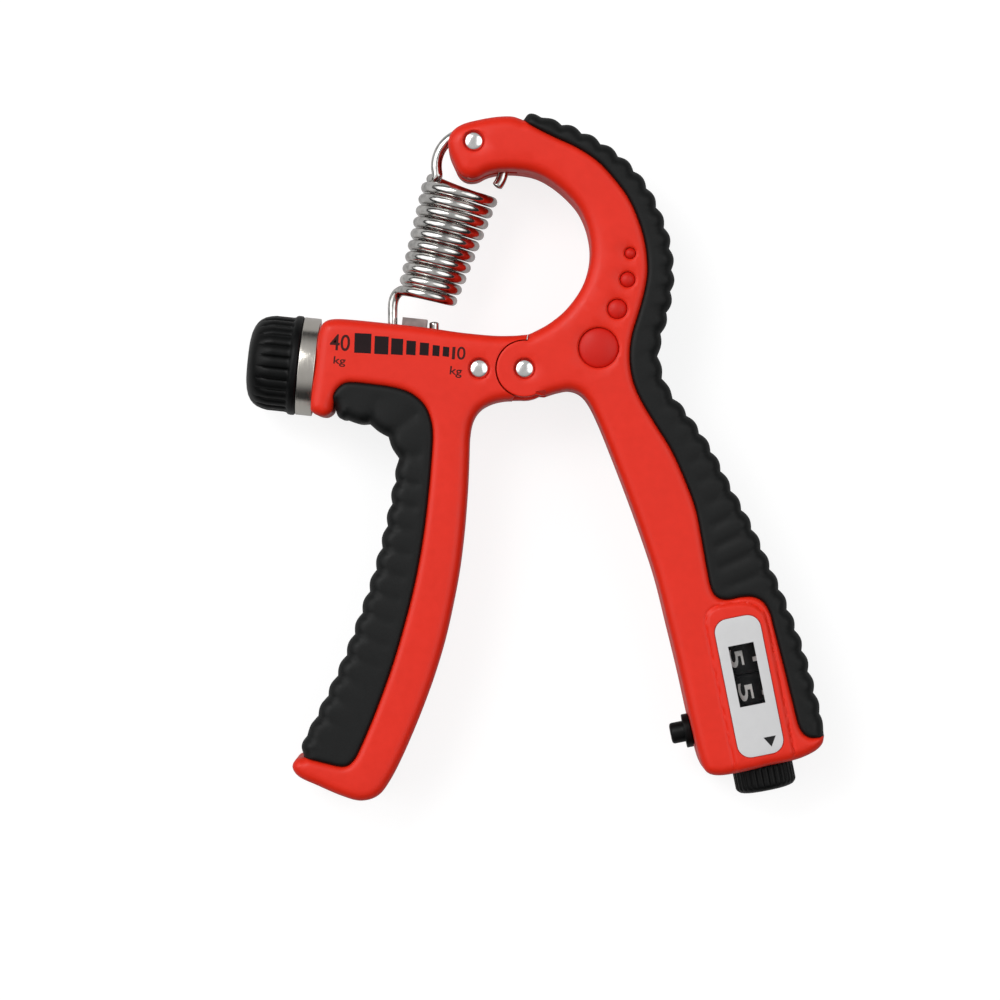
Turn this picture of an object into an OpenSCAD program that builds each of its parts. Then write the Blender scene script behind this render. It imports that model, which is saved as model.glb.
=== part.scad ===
// Hand grip strengthener with an adjustable spring and a squeeze counter.
// It lies flat on its back: X to the right, Y towards the spring, Z out of the front face.
// The arms are drawn about the pivot that joins them, and placed in the frame at the end.

/* [Arms] */
// Thickness of each arm, from the back face to the front face
arm_t = 24; // [23:0.5:27]
// Thickness of the rubber over the core of the arms
rubber_t = 2.5; // [2:0.1:3]
// Width of the rounding along the edges of the arms
edge_w = 2.3; // [1.2:0.1:2.6]
// Wall left round the hollows of the arms
wall_t = 2.4; // [1.8:0.1:3]
// Distance between the grooves across the rubber
groove_pitch = 5; // [4:0.2:7]
// Depth of those grooves
groove_depth = 0.7; // [0.3:0.1:0.9]
// Diameter of the largest dot on the hoop
dot_d = 9.2; // [7:0.2:10]
// Height of the dots above their recess
dot_h = 0.9; // [0.4:0.1:1.2]

/* [Pivot] */
// Radius of the round lugs of the right arm
lug_r = 6.2; // [5.6:0.1:6.4]
// Thickness of the left arm's tongue between those lugs
tongue_t = 10; // [8:0.5:12]
// Gap between the arms at the pivot
pivot_gap = 0.4; // [0.3:0.05:0.6]
// Diameter of the pivot rivet's shank
pivot_d = 3.2; // [2.8:0.1:3.6]
// Outer diameter of the pivot bush
bush_d = 6; // [5:0.2:8]
// Diameter of the rivet heads
rivet_head_d = 4.4; // [4:0.1:5]
// Height of the rivet heads
rivet_head_h = 0.9; // [0.6:0.1:1.2]
// Depth of the recess that each rivet head lies in
rivet_recess = 1.1; // [0.9:0.1:1.5]
// Gap round a rivet head
rivet_gap = 0.25; // [0.15:0.05:0.4]
// Diameter of the tip rivet's shank
tip_d = 2.4; // [2:0.1:2.6]

/* [Spring] */
// Diameter of the spring's wire
wire_d = 2.1; // [1.8:0.05:2.15]
// Outer diameter of the coil at its upper end
coil_top_d = 17.6; // [16:0.2:19]
// Outer diameter of the coil at its lower end
coil_bottom_d = 13.5; // [12:0.2:15]
// Outer length of the coil along its axis
coil_l = 27.2; // [25:0.2:27.4]
// Full turns of the coil beside the part turn at its ends
coil_turns = 9; // [5:1:9]
// Radius of the upper hook, at the middle of the wire
top_hook_r = 7.65; // [7.4:0.05:7.9]
// Radius of the lower hook, at the middle of the wire
low_hook_r = 4.7; // [4.3:0.1:5]

/* [Adjuster] */
// Diameter of the adjusting knob
knob_d = 22.6; // [20:0.2:23]
// Length of the adjusting knob
knob_l = 11.7; // [9:0.1:14]
// Ribs round the adjusting knob
knob_ribs = 24; // [12:1:32]
// Difference between the knob's diameter and the collar's
collar_step = 0.4; // [0.2:0.2:2.4]
// Width of that collar
collar_w = 3.7; // [2.5:0.1:3.8]
// Diameter of the lead screw
screw_d = 6; // [5:0.2:6.4]
// Length of the carriage nut along the screw
nut_l = 6.6; // [5:0.2:7]
// Width of the carriage nut
nut_w = 11; // [10:0.2:12]
// Thickness of the hook block, front to back
block_t = 8.4; // [7:0.2:9]
// Width of the hook block along the screw
block_w = 5.6; // [5:0.2:6.4]
// Clearance of parts that run in each other, on the radius
run_gap = 0.05; // [0.03:0.01:0.08]

/* [Counter] */
// Length of the counter's window
window_l = 13.9; // [12:0.1:14.4]
// Width of the counter's window
window_w = 5.8; // [4:0.1:7]
// Length of the label plate
label_l = 31.5; // [28:0.5:32]
// Width of the label plate
label_w = 10.4; // [9.5:0.1:11.4]
// Thickness of the label plate
label_t = 0.45; // [0.3:0.05:0.8]
// Height of the raised face round the label
boss_h = 0.4; // [0.3:0.1:0.8]
// Thickness of the window lens
lens_t = 0.9; // [0.6:0.1:1]
// Diameter of the number wheels
wheel_d = 16.8; // [14:0.2:17]
// Width of each number wheel
wheel_w = 6.5; // [5.5:0.1:6.6]
// Diameter of the counter's axle
axle_d = 2.4; // [2:0.1:3]
// Diameter of the push pin
pin_d = 4.8; // [4:0.1:5.2]
// Length of the push pin outside its sleeve
pin_out = 3.1; // [2.5:0.1:4]
// Travel of the push pin
pin_travel = 2.8; // [2:0.1:2.9]
// Diameter of the push pin's sleeve flange
sleeve_d = 7.7; // [7:0.1:8.4]
// Diameter of the reset knob
reset_d = 14; // [12:0.1:14.4]
// Length of the reset knob
reset_l = 5.9; // [4:0.1:6.4]
// Ribs round the reset knob
reset_ribs = 28; // [16:1:36]
// Travel of the reset knob when it is pushed
reset_travel = 1.5; // [1:0.1:1.7]

/* [Fasteners] */
// Diameter of the shell screws
shell_screw_d = 2.2; // [2:0.1:2.6]
// Diameter of the shell screws' heads
shell_head_d = 4; // [3.6:0.1:4.4]

/* [Hidden] */
$fn = 48;

// The pivot's place in the frame: the origin is under the middle of the whole outline.
pivot_x = -2.6;
pivot_y = 19.8;
half = arm_t / 2;
core_z = half - rubber_t;
eps = 0.01;
steps = 2;                      // points of a spline between two of its knots

// Outlines about the pivot. Left arm: red edge, then inner edge, then the rubber's two edges.
left_red = [
    [-42.9, -7.9], [-43.4, -9.7], [-45.1, -10.7], [-47.4, -10], [-48.4, -8.1], [-47.8, -3.6],
    [-47.1, 1.6], [-46.6, 6.1], [-46, 9], [-44.9, 10.6], [-42.9, 11.2], [-39.3, 11.1],
    [-31.2, 10.3], [-22.2, 9.3], [-14.5, 8.2], [-7.3, 7.4], [-2.8, 7.2], [0.4, 7.2]];
left_inner = [
    [-1.7, -6.9], [-4.6, -7], [-7.5, -7.7], [-10, -9.2], [-11.6, -11.7], [-12.3, -15.3],
    [-12.5, -20.5], [-12.8, -27.2], [-13.5, -36.2], [-14.6, -45.2], [-16.1, -53.3],
    [-18, -61.6], [-20.6, -70.2], [-23.7, -78.5], [-27.3, -86.9], [-30.3, -92.7], [-33, -96],
    [-36.8, -97.1], [-41.1, -96], [-46.7, -93.6], [-50.7, -91.7], [-52.2, -89.5],
    [-51.2, -87.6], [-49.6, -87.3]];
left_outer = [
    [-49.6, -87.3], [-50.1, -84.4], [-48, -79.9], [-44.2, -72.2], [-40.8, -64.6],
    [-37.9, -56.9], [-35.4, -49.7], [-33.4, -43], [-31.8, -36.7], [-30.5, -30.6], [-29.5, -25],
    [-28.9, -20.7], [-30.3, -16.9], [-33.4, -13.7], [-37.5, -12.2], [-41.5, -11.2],
    [-42.9, -7.9]];
left_pad = [
    [-42.9, -7.9], [-42.8, -5.9], [-41.5, -4], [-39.3, -3.1], [-33.6, -3.6], [-28.7, -4.4],
    [-25.3, -5.7], [-22.6, -8.1], [-21.2, -11.2], [-20.7, -14.8], [-21, -20.5], [-21.7, -28.4],
    [-22.8, -37.4], [-24.6, -47.5], [-27.1, -57.6], [-30, -67.3], [-33.6, -77.2],
    [-36.8, -84.8], [-38.4, -87.8], [-40.6, -89.3], [-44.9, -88.5], [-49.6, -87.3]];
// Right arm: the tip and the inside of the hoop, the inner and bottom edge, the rubber's edges.
right_hoop = [
    [-0.3, 56], [-2.8, 56.8], [-6.4, 56.7], [-10.5, 56], [-13.8, 55.1], [-16.1, 53.6],
    [-17.2, 51.3], [-16.9, 48.8], [-15.9, 46.4], [-14.7, 44.1], [-12.9, 43], [-10.7, 43.1],
    [-8.4, 44.2], [-5.5, 44.8], [-1.5, 44.8], [2.6, 44], [6.2, 42.1], [9.8, 39.1],
    [12.5, 35.8], [14.3, 31.5], [15, 26.8], [14.4, 22.3], [12.5, 17.6], [9.3, 13.3],
    [5.7, 10.3], [2.1, 8.4], [0.8, 7.9]];
right_in = [
    [4.6, -6], [7.5, -5.1], [10.2, -4.7], [12.7, -5.6], [14.7, -7.9], [17, -12.6],
    [19.9, -19.8], [23.3, -28.6], [26.7, -38], [29.8, -47.5], [32.5, -58.3], [35, -68.6],
    [36.9, -77.2], [38.8, -85.3], [39.9, -88.9], [41.3, -90.9], [44.2, -91.4], [49.6, -90.5],
    [55.2, -89.1], [60.9, -87.9], [64.9, -86.2], [66.9, -84.4], [67.4, -82.4]];
right_outer = [
    [67.4, -82.4], [66.9, -77.9], [65, -70], [62.7, -62.1], [59.3, -52.9], [55, -43],
    [51, -34.4], [46.5, -26.1], [42.2, -17.8], [37.7, -11], [33.2, -5.2], [31.2, -0.7],
    [30.6, 3.8], [31.4, 8.1], [33, 14.2], [33.8, 21.2], [33, 28.6], [30.9, 35.1],
    [27.8, 41.4], [23.3, 46.8], [17.4, 51.3], [10.7, 54.8], [4.6, 56.8], [1.2, 57.5],
    [-0.3, 56]];
right_pad = [
    [-0.3, 56], [1.9, 54.5], [6.4, 52.2], [11.8, 49.7], [16.5, 46.6], [20.1, 42.8],
    [23.3, 38.5], [25.5, 33.8], [27.1, 28.4], [27.7, 22.7], [27.2, 18.2], [25.8, 12.8],
    [24.2, 7.4], [23.7, 2.5], [24.4, -2.5], [26.2, -7], [29.4, -12.4], [33, -18.2],
    [36.1, -25], [38.5, -31.5], [39.9, -38.5], [41.1, -45.2], [42, -49.3], [43.3, -51.3],
    [45.6, -51.8], [48.7, -51.2], [51.4, -51.2], [53.7, -52.4], [55.2, -54.9],
    [56.2, -58.7], [58.2, -66.4], [60.2, -74.5], [61.8, -80.5], [63.6, -82.6],
    [65.8, -82.8], [67.4, -82.4]];

// Places about the pivot
tip = [-11.4, 51.1];                    // tip rivet
left_rivet_at = [-10.2, 0];
dots = [[23.7, 25.9, 0.29], [23.1, 20, 0.39], [20.8, 13.4, 0.5], [16.6, 4.7, 1]];
screw_tilt = 6;                         // the screw falls by this angle towards the pivot
knob_at = [-51, 1];                     // middle of the knob's inner face
label_at = [47.25, -55.8];              // upper end of the label
handle_tilt = 11.3;                     // the label leans by this angle
left_screws = [[-21.7, -58], [-31.5, -86]];
right_screws = [[21.5, 31], [25.5, -18], [37, -50]];

// Derived places along the screw, from the knob's inner face
collar_d = knob_d - collar_step;
shell_end = collar_w + 0.2;             // end face of the left arm's tube
block_at = 25;                          // middle of the hook block
travel_out = 10.5;                      // carriage travel towards the knob
travel_in = 8;                          // carriage travel towards the pivot
slack = 0.5;                            // end play of the carriage
nut_from = block_at - travel_out - nut_l / 2 - slack;
nut_to = block_at + travel_in + nut_l / 2 + slack;
hook_h = screw_d / 2 + 0.45 + low_hook_r + wire_d / 2;  // the hook's middle over the screw
slot_t = block_t + 0.8;                 // the slot that the hook block stands in
block_top = 13.3;
end_bush_l = 1.5;
end_bush_r = 3.2;
journal_r = 2;
hook_reach = low_hook_r + wire_d / 2;

// Derived places of the counter, from the label's upper end down the handle
window_at = 13.1;                       // middle of the window
wheel_gap = 0.4;
wheels_from = window_at - wheel_w - wheel_gap / 2;
wheels_to = window_at + wheel_w + wheel_gap / 2;
ratchet_t = 1.2;
frame_t = 0.9;
frame_from = wheels_from - 0.3 - frame_t;
frame_to = wheels_to + ratchet_t + 0.3 + frame_t;
pin_at = 23.5;                          // the push pin's axis
pin_face = -15.9;                       // outer face of the sleeve's flange, across the handle
arm_face = -14.35;                      // the arm's inner face at the pin
bay_from = 4;
bay_to = 29.5;
bay_in = -11.2;
bay_out = 8.9;
bay_z = wheel_d / 2 + 1.6;
handle_end = 34.2;                      // the arm's bottom face
reset_r = reset_d / 2;
shaft_r = 2;
pinion_r = 1.5;
pinion_w = 5;
pinion_gap = 0.15;                      // from the pinion's teeth to the wheels' rims
pinion_at = (wheel_d / 2 + pinion_gap + pinion_r) * [cos(47.4), -sin(47.4)];
ratchet_r = 4.5;
pawl_z = ratchet_r + 0.3;
shoulder_t = 1;
shoulder_w = 6.4;                       // width of the push pin's shoulder
pin_rest = bay_in + 0.05;               // outer face of the push pin's shoulder
seat_at = pin_rest + shoulder_t + pin_travel + 1.65;    // the seat of the pin's spring
lens_z = half - 1;
lens_margin = 0.9;                      // the lens's edge behind the window's

// ---- Functions ----

function unit(v) = v / norm(v);

// One span of a spline through p1 and p2.
function span(p0, p1, p2, p3, t) =
    (2 * p1 + (p2 - p0) * t + (2 * p0 - 5 * p1 + 4 * p2 - p3) * t * t
    + (3 * p1 - p0 - 3 * p2 + p3) * t * t * t) / 2;

// Open spline through the knots k, without its last point.
function spline(k, n = steps) = [
    for (i = [0 : len(k) - 2])
        let (p0 = i > 0 ? k[i - 1] : 2 * k[0] - k[1])
        let (p3 = i < len(k) - 2 ? k[i + 2] : 2 * k[i + 1] - k[i])
        for (j = [0 : n - 1]) span(p0, k[i], k[i + 1], p3, j / n)];

function whole(k, n = steps) = concat(spline(k, n), [k[len(k) - 1]]);
function backwards(p) = [for (i = [len(p) - 1 : -1 : 0]) p[i]];
function without_first(p) = [for (i = [1 : len(p) - 1]) p[i]];
function arc(c, r, a0, a1, n) =
    [for (i = [0 : n]) let (a = a0 + (a1 - a0) * i / n) c + r * [cos(a), sin(a)]];

// Running length at each point of a line.
function lengths(p) = [
    for (i = 0, s = 0; i < len(p);
        s = s + (i < len(p) - 1 ? norm(p[i + 1] - p[i]) : 0), i = i + 1) s];

// n + 1 points spaced evenly along a line.
function even(p, n) =
    let (s = lengths(p))
    let (tx = [for (i = [0 : len(p) - 1]) [s[i], p[i].x]])
    let (ty = [for (i = [0 : len(p) - 1]) [s[i], p[i].y]])
    let (total = s[len(s) - 1])
    [for (i = [0 : n]) [lookup(total * i / n, tx), lookup(total * i / n, ty)]];

// Inward normals of a closed loop that runs counter-clockwise.
function inward(p) = let (n = len(p)) [
    for (i = [0 : n - 1])
        let (t = unit(p[(i + 1) % n] - p[(i + n - 1) % n])) [-t.y, t.x]];

// Left-hand normals of an open line.
function left_of(p) = [
    for (i = [0 : len(p) - 1])
        let (t = unit(p[min(i + 1, len(p) - 1)] - p[max(i - 1, 0)])) [-t.y, t.x]];

function blur(w) = let (n = len(w)) [
    for (i = [0 : n - 1]) (w[(i + n - 1) % n] + 2 * w[i] + w[(i + 1) % n]) / 4];

function shrink(p, w, d) = let (n = inward(p)) [for (i = [0 : len(p) - 1]) p[i] + n[i] * w[i] * d];

function part(p, from, to) = [for (i = [from : to]) p[i]];
function repeat(v, n) = [for (i = [1 : n]) v];
function near(p, a, b, l) = min(1, min(norm(p - a), norm(p - b)) / l);

// Distance from each point of p to the nearest point of q.
function widths(p, q) = [for (a = p) min([for (b = q) norm(a - b)])];

// The grip's outer edge with a groove at each pitch.
function grooved(k) =
    let (line = whole(k, 4))
    let (s = lengths(line))
    let (total = s[len(s) - 1])
    let (n = round(total / groove_pitch))
    let (p = even(line, 6 * n))
    let (side = left_of(p))
    [for (i = [0 : 6 * n])
        let (fade = near(p[i], p[0], p[6 * n], 8))
        p[i] + side[i] * groove_depth * (1 - abs(sin(30 * i))) * fade];

// The core's edge: a line moved in by the rubber's thickness, short of its two ends.
function core_edge(k, side) =
    let (p = whole(k))
    let (n = left_of(p))
    [for (i = [0 : len(p) - 1])
        if (near(p[i], k[0], k[len(k) - 1], 1.4 * rubber_t) == 1) p[i] + side * n[i] * rubber_t];

// ---- Outlines ----

// The left arm's loops run clockwise as listed, so they are turned round.
left_knuckle = arc([0, 0], lug_r + 0.7, 80, -96, 8);
left_face_points = concat(spline(left_red), left_knuckle, spline(left_inner),
    spline(backwards(left_pad)));
left_face_weights = concat(repeat(1, len(spline(left_red))), repeat(0.12, len(left_knuckle)),
    repeat(1, len(spline(left_inner))), repeat(0.55, len(spline(left_pad))));
left_ends = [left_pad[0], left_pad[len(left_pad) - 1]];
left_core_edge = core_edge(left_outer, -1);
left_core = concat(spline(left_red), left_knuckle, spline(left_inner), [left_outer[0]],
    left_core_edge);

right_lug = arc([0, 0], lug_r, 84, 298, 14);
right_face_points = concat(spline(right_hoop), right_lug, spline(right_in),
    spline(backwards(right_pad)));
right_face_weights = concat(repeat(1, len(spline(right_hoop))), repeat(0.12, len(right_lug)),
    repeat(1, len(spline(right_in))), repeat(0.55, len(spline(right_pad))));
right_ends = [right_pad[0], right_pad[len(right_pad) - 1]];
right_core_edge = core_edge(right_outer, 1);
right_core = concat(spline(right_hoop), right_lug, spline(right_in), [right_outer[0]],
    right_core_edge);

// The stretches that are hollow, by their knots: the hoop from the tip's side down, then the
// handles from the pivot's side down.
hoop_inside = part(right_hoop, 14, 23);
hoop_outside = backwards(part(right_outer, 14, 22));
right_inside = part(right_in, 5, 9);
right_outside = backwards(part(right_outer, 5, 10));
left_inside = part(left_inner, 6, 13);
left_outside = backwards(part(left_outer, 2, 10));

// A face's weights, faded out at the two points where the rubber's edges meet.
function faded(p, w, ends) =
    let (b = blur(blur(w)))
    [for (i = [0 : len(p) - 1]) b[i] * near(p[i], ends[0], ends[1], 5)];

// ---- Building blocks ----

// Stacked rings joined into one solid.
module loft(rings, heights) {
    n = len(rings[0]);
    m = len(rings);
    points = [for (j = [0 : m - 1]) for (p = rings[j]) [p.x, p.y, heights[j]]];
    sides = [for (j = [0 : m - 2]) for (i = [0 : n - 1])
        let (a = j * n + i, b = j * n + (i + 1) % n)
        each [[a, a + n, b + n], [a, b + n, b]]];
    polyhedron(points, concat(sides, [[for (i = [0 : n - 1]) i]],
        [[for (i = [n - 1 : -1 : 0]) (m - 1) * n + i]]));
}

bevel = [0, 30, 60, 90];

// The raised red face: its edge rounds off from the core up to the front. Its foot stands a
// little way inside the core's edge.
module face_layer(points, weights) {
    foot = shrink(points, repeat(1, len(points)), 0.03);
    rings = [for (a = bevel) shrink(foot, weights, edge_w * (1 - cos(a)))];
    heights = [for (a = bevel) core_z - (a == 0 ? 0.5 : 0) + rubber_t * sin(a)];
    loft(rings, heights);
}

// One half of an arm as a single rounded shell, at its own size.
module arm_half(core, points, weights) {
    resize([0, 0, 0]) union() {
        linear_extrude(core_z) polygon(core);
        face_layer(points, weights);
    }
}

// A rubber grip between its edge against the red and its outer one: rounded along both faces,
// less where it is narrow, and hollowed by the arm's core.
module grip_body(pad, outer, core) {
    loop = concat(pad, outer);
    weights = blur(concat([for (w = widths(pad, outer)) min(0.35, 0.2 * w / edge_w)],
        [for (w = widths(outer, pad)) min(1, 0.45 * w / edge_w)]));
    low = [for (a = bevel) shrink(loop, weights, edge_w * (1 - sin(a)))];
    difference() {
        resize([0, 0, 0]) loft(concat(low, backwards(low)),
            concat([for (a = bevel) -half + rubber_t * (1 - cos(a))],
                [for (a = backwards(bevel)) half - rubber_t * (1 - cos(a))]));
        translate([0, 0, -core_z]) linear_extrude(2 * core_z) polygon(core);
    }
}

module at(p) { translate([p.x, p.y, 0]) children(); }
module mirrored() { mirror([0, 0, 1]) children(); }
module screw_line() { at(knob_at) rotate([0, 0, -screw_tilt]) children(); }
module counter_line() { at(label_at) rotate([0, 0, handle_tilt - 90]) children(); }

// A cylinder along local X, and one along local Y.
module rod_x(r, from, to) { translate([from, 0, 0]) rotate([0, 90, 0]) cylinder(r = r, h = to - from); }
module rod_y(r, from, to) { translate([0, from, 0]) rotate([-90, 0, 0]) cylinder(r = r, h = to - from); }

module ring_x(r_in, r_out, from, to) {
    difference() {
        rod_x(r_out, from, to);
        rod_x(r_in, from - 1, to + 1);
    }
}

// A box given by its low and high corners.
module block(low, high) { translate(low) cube(high - low); }

module rivet(d, length) {
    shank = length / 2 - rivet_recess;
    cap_r = (rivet_head_d * rivet_head_d / 4 + rivet_head_h * rivet_head_h) / (2 * rivet_head_h);
    cylinder(d = d, h = 2 * shank, center = true);
    for (side = [0, 1]) mirror([0, 0, side]) translate([0, 0, shank]) intersection() {
        cylinder(d = rivet_head_d, h = rivet_head_h);
        translate([0, 0, rivet_head_h - cap_r]) sphere(cap_r);
    }
}

module rivet_hole(d) {
    translate([0, 0, -eps]) cylinder(d = d, h = half + 1);
    translate([0, 0, half - rivet_recess]) cylinder(d = rivet_head_d + 2 * rivet_gap, h = 2);
}

// A dot: a round recess with a dome in it.
module dot_recess(share) { translate([0, 0, half - dot_h]) cylinder(d = dot_d * share, h = dot_h + 1); }
module dot_dome(share) {
    r = dot_d * share / 2 - 0.1;
    h = dot_h * (0.55 + 0.4 * share);
    translate([0, 0, half - dot_h]) rotate_extrude()
        polygon(concat([[0, -0.3], [r, -0.3]], [for (a = [0 : 15 : 90]) [r * cos(a), h * sin(a)]]));
}

// A hollow between an arm's inner edge and its outer one, which the rubber covers.
module hollow(inside, outside) {
    n = 12;
    one = even(whole(inside), n);
    two = even(whole(outside), n);
    near_one = [for (i = [0 : n]) one[i] + unit(two[i] - one[i]) * wall_t];
    near_two = [for (i = [0 : n]) two[i] + unit(one[i] - two[i]) * (wall_t + rubber_t)];
    translate([0, 0, -eps]) linear_extrude(core_z - wall_t) polygon(concat(near_one, backwards(near_two)));
}

module screw_bosses(places) {
    for (p = places) at(p) cylinder(r = shell_head_d / 2 + 1, h = core_z - wall_t + eps);
}

// ---- Left arm ----

// What the right arm's lugs and the parts inside take out of each half of the left arm.
module left_cuts() {
    // the lug's round seat, and all that lies beyond it
    translate([0, 0, tongue_t / 2]) {
        cylinder(r = lug_r + pivot_gap, h = half);
        linear_extrude(half) polygon(concat([[0, 0]], arc([0, 0], 20, -110, 87, 12)));
    }
    translate([0, 0, -eps]) cylinder(d = bush_d, h = half);
    at(left_rivet_at) rivet_hole(pivot_d);
    screw_line() {
        block([0, -knob_d / 2 - 1, -eps], [shell_end, knob_d / 2 + 1, half + 1]);
        rod_x(screw_d / 2 + 2, shell_end - 2, nut_from + 1);
        block([nut_from, -nut_w / 2 - 0.6, -eps], [nut_to, nut_w / 2 + 0.6, nut_w / 2 + 0.3]);
        block([block_at - travel_out - hook_reach - 0.4, 2, -eps],
            [block_at + travel_in + hook_reach + 0.4, 20, slot_t / 2]);
        rod_x(end_bush_r, nut_to - 1, nut_to + end_bush_l);
    }
}

module left_half() {
    difference() {
        arm_half(backwards(left_core), backwards(left_face_points),
            backwards(faded(left_face_points, left_face_weights, left_ends)));
        difference() {
            hollow(left_inside, left_outside);
            screw_bosses(left_screws);
        }
        left_cuts();
    }
}

module left_shell_front() {
    color("#e23a26") difference() {
        left_half();
        for (p = left_screws) at(p) translate([0, 0, -eps]) cylinder(d = shell_screw_d, h = 6);
    }
}

module shell_screw_holes(places) {
    for (p = places) at(p) {
        translate([0, 0, -half - 1]) cylinder(d = shell_screw_d, h = half + 2);
        translate([0, 0, -half - 1]) cylinder(d = shell_head_d, h = 3.5);
    }
}

module left_shell_back() {
    color("#dd3724") difference() {
        mirrored() left_half();
        shell_screw_holes(left_screws);
    }
}

module left_grip() {
    color("#26282a") grip_body(without_first(backwards(whole(left_pad))),
        without_first(grooved(backwards(left_outer))), left_core);
}

module left_rivet() { color("silver") at(left_rivet_at) rivet(pivot_d, arm_t); }

module shell_screw() {
    translate([0, 0, -half + 1.2]) cylinder(d = shell_screw_d, h = half + 3);
    difference() {
        translate([0, 0, -half + 1]) cylinder(d = shell_head_d, h = 1.5);
        for (a = [0, 90]) rotate(a) translate([0, 0, -half + 1]) cube([shell_head_d * 0.7, 0.5, 1.2], center = true);
    }
}

module left_shell_screws() { color("silver") for (p = left_screws) at(p) shell_screw(); }

module pivot_bush() {
    color("darkkhaki") difference() {
        cylinder(d = bush_d, h = tongue_t, center = true);
        cylinder(d = pivot_d + 2 * run_gap, h = arm_t, center = true);
    }
}

module knob_collar() {
    color("silver") screw_line() difference() {
        ring_x(screw_d / 2 + 2, collar_d / 2, 0.15, collar_w + 0.15);
        ring_x(collar_d / 2 - 0.5, collar_d, collar_w / 2 - 0.2, collar_w / 2 + 0.3);
    }
}

module screw_bush() {
    color("darkkhaki") screw_line() {
        ring_x(screw_d / 2 + run_gap, screw_d / 2 + 2, 0.2, nut_from - 1.6);
    }
}

module end_bush() {
    color("darkkhaki") screw_line() ring_x(journal_r + run_gap, end_bush_r, nut_to, nut_to + end_bush_l);
}

// ---- Adjuster ----

module knob() {
    r = knob_d / 2;
    rib_r = 0.45;
    color("#1c1d1f") screw_line() difference() {
        union() {
            rotate([0, -90, 0]) rotate_extrude($fn = 96) polygon([
                [0, 0], [r, 0], [r, 1.4], [r - 0.5, 1.8], [r - 0.6, knob_l * 0.5],
                [r - 1.1, knob_l * 0.7], [r - 2.2, knob_l * 0.84], [r - 3.6, knob_l * 0.9],
                [r * 0.5, knob_l * 0.97], [0, knob_l]]);
            for (i = [0 : knob_ribs - 1]) rotate([360 * i / knob_ribs, 0, 0])
                translate([-knob_l * 0.72, 0, r - 0.75]) rotate([0, 90, 0])
                    cylinder(r = rib_r, h = knob_l * 0.72 - 1, $fn = 16);
        }
        rod_x(screw_d / 2, -knob_l * 0.6, 1);
    }
}

// The thread is a plain cylinder at its outer diameter.
module lead_screw() {
    color("silver") screw_line() {
        rod_x(screw_d / 2, -knob_l * 0.6, nut_to - slack / 2);
        rod_x(journal_r, nut_to - 1, nut_to + end_bush_l);
    }
}

module screw_clip() {
    color("gray") screw_line() ring_x(screw_d / 2, screw_d / 2 + 1.4, nut_from - 1.55, nut_from - 0.85);
}

module nut_body() {
    difference() {
        block([block_at - nut_l / 2, -nut_w / 2, -nut_w / 2], [block_at + nut_l / 2, nut_w / 2, nut_w / 2]);
        rod_x(screw_d / 2 + run_gap, 0, 60);
        block([block_at - nut_l, screw_d / 2 + 0.15, -block_t / 2],
            [block_at + nut_l, nut_w, block_t / 2]);
    }
}

module carriage_nut() { color("darkkhaki") screw_line() nut_body(); }

// The steel block that the spring's lower hook pulls on, with the hook's groove under its saddle.
module hook_block() {
    groove_t = wire_d / 2 + 0.4;
    color("silver") screw_line() difference() {
        block([block_at - block_w / 2, screw_d / 2 + 0.15, -block_t / 2],
            [block_at + block_w / 2, block_top, block_t / 2]);
        difference() {
            translate([block_at, hook_h, -groove_t]) cylinder(r = hook_reach + 0.15, h = 2 * groove_t);
            translate([block_at, hook_h, -half]) cylinder(r = low_hook_r - wire_d / 2 - 0.15, h = arm_t);
            block([0, hook_h, -half], [60, 30, half]);
        }
    }
}

// ---- Spring ----

function lift(p, z = 0) = [p.x, p.y, z];
function bezier(a, b, c, d, n) = [
    for (i = [1 : n - 1]) let (t = i / n, s = 1 - t)
        s * s * s * a + 3 * s * s * t * b + 3 * s * t * t * c + t * t * t * d];

wire_r = wire_d / 2;
screw_u = [cos(screw_tilt), -sin(screw_tilt)];
screw_n = [sin(screw_tilt), cos(screw_tilt)];
hook_at = knob_at + block_at * screw_u + hook_h * screw_n;  // middle of the lower hook
loop_at = tip + [-0.9, -top_hook_r + 1.65 + wire_r + 0.2];    // middle of the upper hook
coil_u = [0.2873, 0.95784];              // the coil's axis, upwards
coil_side = [coil_u.y, -coil_u.x];
coil_low = [-21.7, 16.2] + coil_u * wire_r;
coil_run = coil_l - wire_d;
coil_from = 150;
coil_to = -150 - 360 * coil_turns;
coil_points = 8 * coil_turns + 7;

function coil_r(t) = (coil_bottom_d + (coil_top_d - coil_bottom_d) * t) / 2 - wire_r;
function coil_point(t) =
    let (a = coil_from + (coil_to - coil_from) * t)
    let (p = coil_low + coil_u * coil_run * t + coil_side * coil_r(t) * cos(a))
    [p.x, p.y, coil_r(t) * sin(a)];

low_end = hook_at + [low_hook_r, 3.1];
leg_top = hook_at + [-low_hook_r, 6.4];
lead_in = [coil_side.x * 0.5, coil_side.y * 0.5, -cos(coil_from)];
lead_out = [-coil_side.x * 0.5, -coil_side.y * 0.5, -cos(coil_to)];
loop_start = arc(loop_at, top_hook_r, 192, 192, 1)[0];
spring_path = concat(
    [lift(low_end), lift(low_end - [0, 1.5])],
    [for (p = arc(hook_at, low_hook_r, 0, -180, 8)) lift(p)],
    [lift(hook_at + [-low_hook_r, 3.2]), lift(leg_top)],
    bezier(lift(leg_top), lift(leg_top + [0, 3.4]), coil_point(0) - 2.8 * lead_in, coil_point(0), 5),
    [for (i = [0 : coil_points]) coil_point(i / coil_points)],
    bezier(coil_point(1), coil_point(1) + 2.8 * lead_out, lift(loop_start - [-0.4, 2.2]),
        lift(loop_start), 5),
    [for (p = arc(loop_at, top_hook_r, 192, -36, 12)) lift(p)]);

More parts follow.
